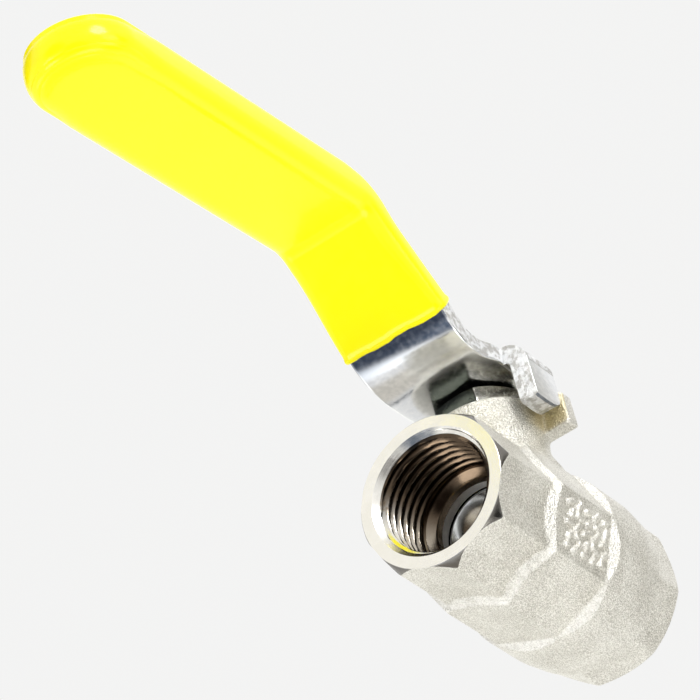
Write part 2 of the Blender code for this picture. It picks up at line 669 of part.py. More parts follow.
def main():
    nickel = material("nickel_plated_brass", (0.72, 0.69, 0.63), 0.38, 1.0)
    chrome = material("chromed_brass", (0.82, 0.83, 0.84), 0.08, 1.0)
    brass = material("brass", (0.76, 0.60, 0.30), 0.30, 1.0)
    zinc = material("plated_steel", (0.66, 0.68, 0.70), 0.18, 1.0)
    ptfe = material("ptfe", (0.90, 0.90, 0.87), 0.55, 0.0)
    rubber = material("black_rubber", (0.03, 0.03, 0.03), 0.7, 0.0)
    vinyl = material("yellow_vinyl", (1.0, 0.86, 0.02), 0.25, 0.0)

    make_body(nickel)
    make_end_cap(nickel)
    make_o_ring("joint_seal", SEAL_CENTRE_R, SEAL_WIRE_R, SEAL_X, rubber, along_x=True)
    make_ball(chrome)
    make_seat("seat_front", 1.0, ptfe)
    make_seat("seat_rear", -1.0, ptfe)
    make_stem(brass)
    make_o_ring("stem_o_ring", O_RING_CENTRE_R, O_RING_WIRE_R, (O_RING_LOW + O_RING_TOP) / 2, rubber)
    low = COLLAR_TOP + GAP
    make_ring("thrust_washer", COLLAR_R, STEM_BORE_R, low, low + WASHER_THICK, ptfe)
    low = PACKING_FLOOR + GAP
    make_ring("packing_lower", PACKING_R - GAP, STEM_BORE_R, low, low + PACKING_THICK, ptfe)
    low += PACKING_THICK + GAP
    make_ring("packing_upper", PACKING_R - GAP, STEM_BORE_R, low, low + PACKING_THICK, ptfe)
    low = GLAND_SPIGOT - GAP - FOLLOWER_THICK
    make_ring("packing_follower", PACKING_R - GAP, STEM_BORE_R, low, low + FOLLOWER_THICK, brass)
    make_gland_nut(nickel)
    make_lever(zinc)
    make_grip(vinyl)
    low = HUB_UNDER + PLATE + GAP
    make_ring("lock_washer", LOCK_WASHER_R, THREAD_TOP_R + GAP, low, low + LOCK_WASHER_THICK, zinc)
    make_handle_nut(zinc)


main()
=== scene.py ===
"""Ball valve with a dipped lever: surfaces, materials, floor, light and camera round the frame."""

import math
import random

import bmesh
import bpy
import numpy as np
from mathutils import Matrix, Vector


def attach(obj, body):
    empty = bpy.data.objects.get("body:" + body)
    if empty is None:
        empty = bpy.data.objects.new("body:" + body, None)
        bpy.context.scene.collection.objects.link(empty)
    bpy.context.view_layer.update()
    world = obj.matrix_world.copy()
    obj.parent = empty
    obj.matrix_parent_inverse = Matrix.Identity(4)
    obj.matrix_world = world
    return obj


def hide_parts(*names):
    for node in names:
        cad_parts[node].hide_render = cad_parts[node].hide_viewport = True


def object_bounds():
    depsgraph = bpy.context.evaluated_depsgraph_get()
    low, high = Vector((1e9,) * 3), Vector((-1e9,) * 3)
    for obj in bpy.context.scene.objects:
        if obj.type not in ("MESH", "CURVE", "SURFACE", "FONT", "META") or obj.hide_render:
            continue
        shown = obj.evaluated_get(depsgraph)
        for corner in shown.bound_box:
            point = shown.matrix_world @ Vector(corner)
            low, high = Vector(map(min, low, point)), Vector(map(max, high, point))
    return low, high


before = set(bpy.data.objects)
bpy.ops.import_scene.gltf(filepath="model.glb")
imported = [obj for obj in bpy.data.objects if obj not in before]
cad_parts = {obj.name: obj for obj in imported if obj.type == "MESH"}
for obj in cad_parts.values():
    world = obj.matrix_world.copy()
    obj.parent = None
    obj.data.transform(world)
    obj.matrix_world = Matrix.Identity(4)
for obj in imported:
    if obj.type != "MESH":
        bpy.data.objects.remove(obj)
cad_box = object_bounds()
scene = bpy.context.scene

# Lengths are millimetres counted from the centre of the ball. Finished pieces are scaled to metres
# and set down by the stem's height, because the frame's origin is the top end of the stem.
MM = 0.001
STEM_TOP = 39.0
ROUND = 144
VOXEL, SMOOTH_ROUNDS = 0.24, 4

# Ports and octagonal ends
PORT_FRONT, PORT_REAR = 26.5, -27.4
FACE_R, END_CORNER_R, CAP_CORNER_R = 12.95, 13.5, 13.9
CHAMFER, CHAMFER_END = 1.6, 4.6
CAP_TWIST = 19.7
DRUM_R, DRUM_FLAT, DRUM_BACK, DRUM_TAPER, DRUM_BACK_R = 15.1, 13.8, -19.4, -14.5, 14.4
PITCH, MAJOR_R, MINOR_R, MOUTH_R = 1.814, 10.48, 9.32, 10.85
THREAD_DEEP, THREAD_ROWS, MOUTH_CONE = 13.0, 139, 0.95
THREADED = -1.0     # stands for the radius in a row that follows a thread
# Waterway, the pockets that hold the seats, ball
WATERWAY_R, POCKET_R, POCKET_FACE, POCKET_MOUTH = 7.5, 10.9, 11.2, 8.2
BALL_R, BALL_BORE_R, BALL_LIP = 11.6, 7.3, 0.25
# Neck and rib
NECK_TOP, PACKING_R, PACKING_FLOOR, STEM_BORE_R = 23.3, 6.2, 17.9, 4.3
# Lever: the slope's corner and the knee are where the straight stretches would meet
PLATE, HUB_UNDER = 3.3, 28.0
SLOPE_START, SLOPE = 17.7, math.radians(42.9)
KNEE_X, KNEE_BEND, DROOP = 37.5, 4.0, math.radians(-4.4)
LEVER_TIP, FLANGE = 110.2, 3.2
TO_KNEE = (KNEE_X - SLOPE_START) / math.cos(SLOPE)
TO_TIP = TO_KNEE + (LEVER_TIP - KNEE_X) / math.cos(DROOP)
TIP_START = TO_TIP - 8.7
LEVER_EDGE, HANDLE_UNDER, LEVER_FILL, LEVER_SWINGS = 0.35, 1.4, 6.0, 14
HUB_END, HUB_END_EDGE = -29.65, 0.35
SIDE_TAB, REAR_TAB, TAB_BEND, TAB_FOOT, TAB_SINK = 9.8, 12.1, 0.8, 19.8, 0.02
# Coating: distances along the lever and thicknesses
MOUTH_AT, COAT, COAT_FILL, COAT_SWINGS = 6.3, 0.62, 8.0, 26
LIP, LIP_ROUND, BEAD, BEAD_AT = 0.2, 0.45, 0.16, 0.75
SKIN_GAP, SKIN_EDGE, SKIN_SWINGS = 0.12, 0.45, 12


# ------------------------------------------------------------------ mesh helpers

def add_mesh(name, verts, faces):
    mesh = bpy.data.meshes.new(name)
    mesh.from_pydata([tuple(map(float, v)) for v in verts], [], faces)
    obj = bpy.data.objects.new(name, mesh)
    scene.collection.objects.link(obj)
    return outward(obj)


def outward(obj):
    bm = bmesh.new()
    bm.from_mesh(obj.data)
    bmesh.ops.recalc_face_normals(bm, faces=bm.faces)
    bm.to_mesh(obj.data)
    bm.free()
    return obj


def bake(obj):
    graph = bpy.context.evaluated_depsgraph_get()
    graph.update()
    mesh = bpy.data.meshes.new_from_object(obj.evaluated_get(graph), depsgraph=graph)
    obj.modifiers.clear()
    old = obj.data
    obj.data = mesh
    bpy.data.meshes.remove(old)
    return obj


def combine(obj, other, operation="DIFFERENCE"):
    step = obj.modifiers.new("combine", "BOOLEAN")
    step.operation, step.solver, step.object = operation, "EXACT", other
    bake(obj)
    bpy.data.objects.remove(other, do_unlink=True)
    return obj


def join(obj, *others):
    """Several closed meshes as one, before a remesh fuses them."""
    bm = bmesh.new()
    bm.from_mesh(obj.data)
    for other in others:
        bm.from_mesh(other.data)
        bpy.data.objects.remove(other, do_unlink=True)
    bm.to_mesh(obj.data)
    bm.free()
    return obj


def fuse(obj):
    """Voxel remesh and smoothing: the overlapping blanks become one forging with rounded edges."""
    remesh = obj.modifiers.new("fuse", "REMESH")
    remesh.mode, remesh.voxel_size, remesh.adaptivity = "VOXEL", VOXEL, 0.0
    smooth = obj.modifiers.new("round", "SMOOTH")
    smooth.factor, smooth.iterations = 0.5, SMOOTH_ROUNDS
    return bake(obj)


def bevel(obj, width, segments=3, angle=35.0):
    step = obj.modifiers.new("edges", "BEVEL")
    step.width, step.segments, step.angle_limit = width, segments, math.radians(angle)
    step.limit_method, step.use_clamp_overlap = "ANGLE", True
    return bake(obj)


def shade(obj, angle=35.0):
    obj.data.shade_smooth()
    if angle:
        obj.data.set_sharp_from_angle(angle=math.radians(angle))
    return obj


def place(r, h, theta, axis):
    """Point at radius r and height h round X, counted from +Z towards +Y, or round Z from +X."""
    if axis == "x":
        return (h, r * math.sin(theta), r * math.cos(theta))
    return (r * math.cos(theta), r * math.sin(theta), h)


def bridged(rows, ring=False):
    """Faces between neighbouring rows of vertices; a row of one vertex is a point on the axis."""
    faces = []
    for low, high in list(zip(rows, rows[1:])) + ([(rows[-1], rows[0])] if ring else []):
        steps = max(len(low), len(high))
        for i in range(steps):
            j = (i + 1) % steps
            if len(low) == 1 and len(high) == 1:
                continue
            if len(low) == 1:
                faces.append((low[0], high[j], high[i]))
            elif len(high) == 1:
                faces.append((low[i], low[j], high[0]))
            else:
                faces.append((low[i], low[j], high[j], high[i]))
    return faces


def revolve(name, profile, axis="z", steps=ROUND, ring=False, radius=None):
    """Closed turned solid from (r, height) points. Unless it is a ring it starts and ends on the axis.

    radius, if given, maps (r, height, theta) to the radius there. A point whose r is zero or below
    goes on the axis before radius is asked, so this function forms no thread.
    """
    verts, rows = [], []
    for r, h in profile:
        if r <= 1e-6:
            rows.append([len(verts)])
            verts.append(place(0.0, h, 0.0, axis))
            continue
        row = []
        for i in range(steps):
            theta = math.tau * i / steps
            row.append(len(verts))
            verts.append(place(radius(r, h, theta) if radius else r, h, theta, axis))
        rows.append(row)
    return add_mesh(name, verts, bridged(rows, ring))


def prism(name, sides, corner_r, low, high, axis="z", turn=0.0):
    verts, faces = [], []
    for h in (low, high):
        for i in range(sides):
            verts.append(place(corner_r, h, math.radians(turn) + math.tau * i / sides, axis))
    faces.append(tuple(range(sides)))
    faces.append(tuple(range(sides, 2 * sides)))
    for i in range(sides):
        j = (i + 1) % sides
        faces.append((i, j, sides + j, sides + i))
    return add_mesh(name, verts, faces)


def box(name, low, high):
    xs, ys, zs = zip(low, high)
    verts = [(x, y, z) for x in xs for y in ys for z in zs]
    faces = [(0, 1, 3, 2), (4, 5, 7, 6), (0, 1, 5, 4), (2, 3, 7, 6), (0, 2, 6, 4), (1, 3, 7, 5)]
    return add_mesh(name, verts, faces)


def loft(name, rings):
    """Closed solid through rings of equal point count."""
    count = len(rings[0])
    verts = [p for ring in rings for p in ring]
    last = (len(rings) - 1) * count
    faces = []
    for a in range(0, last, count):
        b = a + count
        for i in range(count):
            j = (i + 1) % count
            faces.append((a + i, a + j, b + j, b + i))
    faces.append(tuple(range(count)))
    faces.append(tuple(range(last, last + count)))
    return add_mesh(name, verts, faces)


def extrude(name, outline, low, high, axis):
    """Prism over a closed outline; axis names the direction of extrusion."""
    rings = []
    for h in (low, high):
        if axis == "x":
            rings.append([(h, a, b) for a, b in outline])
        else:
            rings.append([(a, h, b) for a, b in outline])
    return loft(name, rings)


def arc(cx, cy, r, start, end, count):
    """Points of an arc, angles in degrees."""
    out = []
    for i in range(count + 1):
        a = math.radians(start + (end - start) * i / count)
        out.append((cx + r * math.cos(a), cy + r * math.sin(a)))
    return out


def finish_piece(obj, body, slot, materials, *nodes, angle=35.0):
    """Sets materials, scales to metres in the frame, and puts the piece on its body in place of nodes."""
    index = np.zeros(len(obj.data.polygons), np.int32)
    obj.data.polygons.foreach_get("material_index", index)
    obj.data.materials.clear()
    for mat in materials:
        obj.data.materials.append(mat)
    obj.data.polygons.foreach_set("material_index", index)
    obj.data.transform(Matrix.Translation((0.0, 0.0, -STEM_TOP * MM)) @ Matrix.Scale(MM, 4))
    shade(obj, angle)
    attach(obj, body)
    if nodes:
        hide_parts(*nodes)
    return obj


# ------------------------------------------------------------------ materials

class Nodes:
    """Short-hand for building a node tree."""

    def __init__(self, name):
        self.mat = bpy.data.materials.new(name)
        self.mat.use_nodes = True
        self.tree = self.mat.node_tree
        self.bsdf = self.tree.nodes["Principled BSDF"]

    def node(self, kind, **values):
        item = self.tree.nodes.new(kind)
        for key, value in values.items():
            setattr(item, key, value)
        return item

    def link(self, source, target):
        self.tree.links.new(source, target)
        return source

    def value(self, target, value):
        if hasattr(value, "is_linked") or hasattr(value, "links"):
            self.tree.links.new(value, target)
        else:
            target.default_value = value

    def coords(self, scale=(1.0, 1.0, 1.0)):
        """Millimetres from the ball's centre, times scale."""
        tex = self.node("ShaderNodeTexCoord")
        mapping = self.node("ShaderNodeMapping")
        mapping.inputs["Scale"].default_value = [s / MM for s in scale]
        mapping.inputs["Location"].default_value = (0.0, 0.0, STEM_TOP * scale[2])
        self.link(tex.outputs["Object"], mapping.inputs["Vector"])
        return mapping.outputs["Vector"]

    def noise(self, vector, scale, detail=3.0, rough=0.55):
        item = self.node("ShaderNodeTexNoise")
        item.inputs["Scale"].default_value = scale
        item.inputs["Detail"].default_value = detail
        item.inputs["Roughness"].default_value = rough
        self.link(vector, item.inputs["Vector"])
        return item.outputs["Fac"]

    def cells(self, vector, scale):
        item = self.node("ShaderNodeTexVoronoi", feature="F1")
        item.inputs["Scale"].default_value = scale
        self.link(vector, item.inputs["Vector"])
        return item.outputs["Distance"]

    def math(self, op, a, b=0.0, clamp=False):
        item = self.node("ShaderNodeMath", operation=op, use_clamp=clamp)
        self.value(item.inputs[0], a)
        self.value(item.inputs[1], b)
        return item.outputs[0]

    def times(self, a, b):
        return self.math("MULTIPLY", a, b)

    def plus(self, a, b):
        return self.math("ADD", a, b)

    def ramp(self, value, low, high, to_low=0.0, to_high=1.0):
        item = self.node("ShaderNodeMapRange", interpolation_type="SMOOTHSTEP")
        item.clamp = True
        self.value(item.inputs["Value"], value)
        for key, number in zip(("From Min", "From Max", "To Min", "To Max"), (low, high, to_low, to_high)):
            self.value(item.inputs[key], number)
        return item.outputs["Result"]

    def mix(self, factor, a, b):
        item = self.node("ShaderNodeMix", data_type="RGBA")
        self.value(item.inputs[0], factor)
        for port, colour in ((item.inputs[6], a), (item.inputs[7], b)):
            if isinstance(colour, tuple):
                port.default_value = (*colour, 1.0)
            else:
                self.tree.links.new(colour, port)
        return item.outputs[2]

    def separate(self, vector):
        item = self.node("ShaderNodeSeparateXYZ")
        self.link(vector, item.inputs[0])
        return item.outputs

    def facing(self):
        """X, Y and Z of the surface normal."""
        return self.separate(self.node("ShaderNodeNewGeometry").outputs["Normal"])

    def bump(self, height, strength, distance, normal=None):
        item = self.node("ShaderNodeBump")
        item.inputs["Strength"].default_value = strength
        item.inputs["Distance"].default_value = distance * MM
        self.link(height, item.inputs["Height"])
        if normal is not None:
            self.link(normal, item.inputs["Normal"])
        return item.outputs["Normal"]

    def done(self, colour, rough, metallic, normal=None, **more):
        if isinstance(colour, tuple):
            self.bsdf.inputs["Base Color"].default_value = (*colour, 1.0)
        else:
            self.link(colour, self.bsdf.inputs["Base Color"])
        self.value(self.bsdf.inputs["Roughness"], rough)
        self.bsdf.inputs["Metallic"].default_value = metallic
        if normal is not None:
            self.link(normal, self.bsdf.inputs["Normal"])
        for key, value in more.items():
            self.value(self.bsdf.inputs[key.replace("_", " ")], value)
        return self.mat


def turned_lines(n, vector, axis_is_x=True):
    """Fine grooves left by a lathe on a face and round a barrel: noise stretched along the cut."""
    parts = n.separate(vector)
    along, a, b = (parts[0], parts[1], parts[2]) if axis_is_x else (parts[2], parts[0], parts[1])
    radius = n.math("SQRT", n.plus(n.times(a, a), n.times(b, b)))
    angle = n.math("ARCTAN2", a, b)
    join_xyz = n.node("ShaderNodeCombineXYZ")
    n.link(radius, join_xyz.inputs[0])
    n.link(along, join_xyz.inputs[1])
    n.link(n.times(angle, 0.35), join_xyz.inputs[2])
    return n.noise(join_xyz.outputs[0], 7.0, 4.0, 0.7)


def nickel_forged():
    """Shot-blasted nickel plate: grainy, warm grey, brighter at worn edges, painted highlights on the
    shoulders.
    """
    n = Nodes("nickel_forged")
    v = n.coords()
    parts = n.separate(v)
    grain = n.noise(v, 2.6, 4.0, 0.65)
    pits = n.cells(v, 3.2)
    broad = n.noise(v, 0.12, 3.0, 0.6)
    speck = n.ramp(n.noise(v, 4.6, 2.0, 0.6), 0.36, 0.64)
    rib = n.times(n.ramp(parts[1], 8.6, 10.6), n.ramp(parts[2], 17.6, 19.0))
    rib = n.times(rib, n.ramp(n.plus(parts[0], n.times(parts[2], 0.12)), 0.3, 0.9))
    point = n.node("ShaderNodeNewGeometry").outputs["Pointiness"]
    worn = n.ramp(point, 0.515, 0.575)
    hollow = n.ramp(point, 0.49, 0.42)
    dull = n.mix(n.ramp(broad, 0.35, 0.7), (0.47, 0.45, 0.39), (0.58, 0.56, 0.50))
    bright = n.mix(n.ramp(broad, 0.35, 0.7), (0.86, 0.84, 0.78), (0.95, 0.935, 0.88))
    colour = n.mix(speck, dull, bright)
    colour = n.mix(n.times(rib, 0.7), colour, (0.74, 0.62, 0.30))
    colour = n.mix(n.times(hollow, 0.5), colour, (0.50, 0.45, 0.36))
    colour = n.mix(n.times(worn, 0.8), colour, (0.95, 0.93, 0.88))
    # painted highlight: bright bands on the sloping shoulders of the drum
    tilt = n.math("ABSOLUTE", n.facing()[0])
    shoulder_highlight = n.times(n.ramp(tilt, 0.12, 0.5), n.ramp(tilt, 0.9, 0.8))
    shoulder_highlight = n.times(shoulder_highlight, n.ramp(parts[2], 13.5, 12.0))
    shoulder_highlight = n.times(shoulder_highlight, n.ramp(n.noise(v, 0.9, 3.0, 0.6), 0.3, 0.65, 0.15, 0.6))
    colour = n.mix(shoulder_highlight, colour, (0.97, 0.955, 0.91))
    rough = n.math("SUBTRACT", n.ramp(broad, 0.3, 0.7, 0.40, 0.48), n.times(worn, 0.14))
    # the rear of the drum is turned: circular marks instead of grain
    turned = n.ramp(parts[0], -6.0, -9.0)
    lines = turned_lines(n, v)
    height = n.plus(n.times(grain, 0.65), n.times(pits, 0.45))
    lined = n.times(lines, n.times(turned, 0.5))
    normal = n.bump(n.plus(height, lined), 1.0, 0.3)
    return n.done(colour, rough, 1.0, normal)


def nickel_machined():
    """Turned nickel faces, bright, with a painted dark reflection on the chamfers at the port ends."""
    n = Nodes("nickel_machined")
    v = n.coords()
    lines = turned_lines(n, v)
    smear = n.noise(v, 0.35, 3.0, 0.6)
    colour = n.mix(n.ramp(smear, 0.35, 0.7), (0.84, 0.82, 0.76), (0.93, 0.91, 0.86))
    # painted dark reflection: the steep chamfer round each port end is painted near black
    parts = n.separate(v)
    from_axis = n.plus(n.times(parts[1], parts[1]), n.times(parts[2], parts[2]))
    tilt = n.math("ABSOLUTE", n.facing()[0])
    painted_chamfer_reflection = n.times(n.ramp(tilt, 0.85, 0.65), n.ramp(tilt, 0.12, 0.25))
    painted_chamfer_reflection = n.times(painted_chamfer_reflection, n.ramp(from_axis, FACE_R ** 2 - 4.0, FACE_R ** 2))
    colour = n.mix(n.times(painted_chamfer_reflection, 0.85), colour, (0.08, 0.07, 0.06))
    rough = n.ramp(smear, 0.3, 0.7, 0.16, 0.26)
    return n.done(colour, rough, 1.0, n.bump(lines, 0.35, 0.03))


def nickel_thread():
    """Plated thread flanks: mirror-like, with painted shade: warmer and darker towards the bottom of the port
    and on one side.
    """
    n = Nodes("nickel_thread")
    v = n.coords()
    parts = n.separate(v)
    depth = n.ramp(n.math("ABSOLUTE", parts[0]), 25.5, 14.0)
    smear = n.noise(v, 0.5, 3.0, 0.6)
    shade_side = n.plus(n.times(parts[1], 0.045), n.times(parts[2], 0.085))
    # painted shade: browner and darker deeper in the port, near black on the side towards +Y and +Z
    colour = n.mix(depth, (0.80, 0.78, 0.73), (0.55, 0.49, 0.40))
    colour = n.mix(n.ramp(smear, 0.5, 0.75), colour, (0.42, 0.34, 0.24))
    colour = n.mix(n.ramp(shade_side, -0.62, 0.15), colour, (0.10, 0.072, 0.048))
    rough = n.ramp(smear, 0.3, 0.7, 0.12, 0.22)
    return n.done(colour, rough, 1.0, n.bump(n.noise(v, 3.0), 0.25, 0.03))


def lever_plating():
    """Bright plating over pressed steel; sheared edges are torn and grey; painted dark reflection under the
    bend.
    """
    n = Nodes("lever_plating")
    v = n.coords()
    normal = n.facing()
    parts = n.separate(v)
    low_tab = n.ramp(parts[2], 27.6, 26.8)
    edge_y = n.times(n.ramp(n.math("ABSOLUTE", normal[1]), 0.72, 0.9), n.math("SUBTRACT", 1.0, low_tab))
    edge_x = n.times(n.ramp(n.math("ABSOLUTE", normal[0]), 0.8, 0.93), n.ramp(parts[0], 9.0, 7.8))
    edge_z = n.times(n.ramp(normal[2], -0.85, -0.95), n.ramp(parts[2], 21.0, 20.4))
    sheared = n.math("MAXIMUM", n.math("MAXIMUM", edge_y, edge_x), edge_z)
    stretched = n.coords((1.0, 1.0, 0.55))
    torn = n.noise(stretched, 1.9, 5.0, 0.75)
    patches = n.ramp(n.noise(v, 0.9, 3.0, 0.6), 0.42, 0.6)
    fine = n.noise(v, 1.1, 3.0, 0.5)
    flecks = n.ramp(n.noise(v, 2.8, 2.0, 0.5), 0.70, 0.76)
    colour = n.mix(n.ramp(fine, 0.3, 0.7), (0.80, 0.81, 0.82), (0.90, 0.905, 0.91))
    colour = n.mix(n.times(flecks, 0.35), colour, (0.98, 0.98, 1.0))
    colour = n.mix(n.times(sheared, patches), colour, (0.52, 0.51, 0.49))
    # painted dark reflection: the underside past the bend above the hub turns dark blue
    low = n.plus(n.times(parts[1], 0.15), SLOPE_START + 1.9)
    along = n.math("DIVIDE", n.math("SUBTRACT", parts[0], low),
                   n.math("SUBTRACT", SLOPE_START + 3.9, low), clamp=True)
    under = n.times(along, n.ramp(normal[2], -0.3, -0.6))
    colour = n.mix(n.times(under, 0.8), colour, (0.12, 0.145, 0.19))
    rough = n.plus(n.ramp(fine, 0.3, 0.7, 0.13, 0.21), n.times(sheared, 0.18))
    micro = n.bump(fine, 0.06, 0.05)
    tear = n.times(torn, sheared)
    return n.done(colour, rough, 1.0, n.bump(tear, 0.9, 0.55, micro))


def yellow_vinyl():
    """Glossy dipped vinyl with a faint orange-peel surface."""
    n = Nodes("yellow_vinyl")
    v = n.coords()
    broad = n.noise(v, 0.05, 2.0, 0.5)
    peel = n.noise(v, 0.55, 2.0, 0.5)
    colour = n.mix(n.ramp(broad, 0.3, 0.7), (1.0, 0.885, 0.003), (1.0, 0.91, 0.006))
    rough = n.ramp(peel, 0.3, 0.7, 0.20, 0.27)
    return n.done(colour, rough, 0.0, n.bump(peel, 0.10, 0.12), Specular_IOR_Level=0.15,
                  Coat_Weight=0.22, Coat_Roughness=0.08)


def gland_nickel():
    """Dull nickel with painted shade: almost black on the sides away from the rib."""
    n = Nodes("gland_nickel")
    v = n.coords()
    smear = n.noise(v, 1.6, 3.0, 0.6)
    facing = n.facing()[1]
    # painted shade on the faces turned away from +Y
    painted_side_shade = n.ramp(n.plus(facing, n.times(smear, 0.2)), 0.6, 0.3)
    colour = n.mix(n.ramp(smear, 0.35, 0.65), (0.40, 0.39, 0.35), (0.52, 0.51, 0.46))
    colour = n.mix(painted_side_shade, colour, (0.030, 0.033, 0.026))
    rough = n.ramp(smear, 0.3, 0.7, 0.16, 0.28)
    return n.done(colour, rough, 1.0, n.bump(smear, 0.35, 0.05))


def plain_metal(name, colour, rough, scale=1.2, strength=0.12):
    """Turned metal with soft blotches and fine circular lines about Z."""
    n = Nodes(name)
    v = n.coords()
    blotch = n.noise(v, scale, 3.0, 0.6)
    dark = tuple(c * 0.82 for c in colour)
    lines = turned_lines(n, v, axis_is_x=False)
    shade_mix = n.mix(n.ramp(blotch, 0.35, 0.7), dark, colour)
    return n.done(shade_mix, n.ramp(blotch, 0.3, 0.7, rough, rough * 1.6), 1.0,
                  n.bump(lines, strength, 0.05))


def plain_plastic(name, colour, rough):
    """Moulded plastic or rubber with soft blotches and a fine grain."""
    n = Nodes(name)
    v = n.coords()
    blotch = n.noise(v, 0.8, 3.0, 0.6)
    dark = tuple(c * 0.86 for c in colour)
    return n.done(n.mix(n.ramp(blotch, 0.35, 0.7), dark, colour),
                  n.ramp(blotch, 0.3, 0.7, rough, rough + 0.1), 0.0, n.bump(n.noise(v, 3.0), 0.1, 0.06))


FORGED, MACHINED, THREAD = nickel_forged(), nickel_machined(), nickel_thread()
BODY_MATS = (FORGED, MACHINED, THREAD)
PLATING = lever_plating()
VINYL = yellow_vinyl()
BRASS = plain_metal("brass_turned", (0.78, 0.60, 0.30), 0.22)
CHROME = plain_metal("ball_chrome", (0.86, 0.87, 0.88), 0.06, 0.4, 0.03)
ZINC = plain_metal("zinc_fastener", (0.80, 0.80, 0.78), 0.16)
NUT_NICKEL = gland_nickel()
PTFE = plain_plastic("ptfe_white", (0.88, 0.87, 0.84), 0.45)
RUBBER = plain_plastic("rubber_black", (0.035, 0.035, 0.035), 0.6)


# ------------------------------------------------------------------ body and end cap

def thread_radius(sign):
    """Female pipe thread with rounded crests in the THREADED rows, coned at its mouth."""
    face = PORT_FRONT if sign > 0 else -PORT_REAR

    def radius(r, h, theta):
        if r > 0:
            return r
        depth = face - sign * h
        phase = (sign * h / PITCH + theta / math.tau) % 1.0
        wave = 1.0 - abs(2.0 * phase - 1.0)
        wave = min(1.0, max(0.0, (wave - 0.13) / 0.74))
        wave = wave * wave * (3 - 2 * wave) * 0.5 + wave * 0.5
        fade = min(1.0, max(0.0, (12.6 - depth) / 1.2))
        cut = MINOR_R + (MAJOR_R - MINOR_R) * wave * fade
        cone = MOUTH_R - depth * MOUTH_CONE
        return max(cut, cone, MINOR_R)
    return radius


def port_rows(sign):
    """Rows (r, x) from outside the port to the bottom of its waterway."""
    face = PORT_FRONT if sign > 0 else PORT_REAR
    rows = [(0.0, face + sign * 1.0), (MOUTH_R + MOUTH_CONE, face + sign * 1.0), (MOUTH_R, face)]
    for i in range(1, THREAD_ROWS):
        rows.append((THREADED, face - sign * i * THREAD_DEEP / THREAD_ROWS))
    rows += [(MINOR_R, face - sign * THREAD_DEEP), (9.1, face - sign * THREAD_DEEP),
             (8.9, face - sign * 13.15), (7.75, face - sign * 13.6), (WATERWAY_R, face - sign * 13.9)]
    return rows


def revolve_threaded(name, rows, sign):
    """Cutter for a port along X, with the thread in its THREADED rows."""
    radius = thread_radius(sign)
    verts, loops = [], []
    for r, h in rows:
        if r == 0.0:
            loops.append([len(verts)])
            verts.append((h, 0.0, 0.0))
            continue
        loop = []
        for i in range(ROUND):
            theta = math.tau * i / ROUND
            loop.append(len(verts))
            verts.append(place(radius(r, h, theta), h, theta, "x"))
        loops.append(loop)
    return add_mesh(name, verts, bridged(loops))


def with_slots(obj, index=0):
    """Gives the mesh the body's three material slots and puts its faces in the one at index."""
    for mat in BODY_MATS:
        obj.data.materials.append(mat)
    if index:
        obj.data.polygons.foreach_set("material_index", [index] * len(obj.data.polygons))
    return obj


def port_materials(obj, face):
    """Machined look on the coned mouth, thread look on everything deeper."""
    for poly in obj.data.polygons:
        poly.material_index = 2 if abs(face - poly.center.x) > 0.9 else 1


def generic_marks():
    """Short raised bars at random angles on one facet of the drum, spelling nothing."""
    bars = []
    rng = random.Random(11)
    angle = math.radians(112.5)
    out = Vector((0.0, math.sin(angle), math.cos(angle)))
    side = Vector((0.0, math.cos(angle), -math.sin(angle)))
    for row, offset in enumerate((-3.6, -1.8, 0.0, 1.8, 3.6)):
        for col in range(5):
            along = Vector((7.8 - 2.6 * col - 0.5 * (row % 2), 0.0, 0.0))
            centre = out * (DRUM_FLAT + 0.05) + side * offset + along
            long, high = 0.75 + 0.5 * rng.random(), 0.38 + 0.15 * rng.random()
            bar = box("bar", (-long, -0.42, -0.3), (long, 0.42, high))
            skew = (rng.random() - 0.5) * 0.9 + (0.9 if (row + col) % 2 else 0.0)
            bar.data.transform(Matrix.Rotation(skew, 4, "Z"))
            turn = Matrix((
                (1.0, side.x, out.x, centre.x), (0.0, side.y, out.y, centre.y),
                (0.0, side.z, out.z, centre.z), (0.0, 0.0, 0.0, 1.0)))
            bar.data.transform(turn)
            bars.append(outward(bar))
    return bars


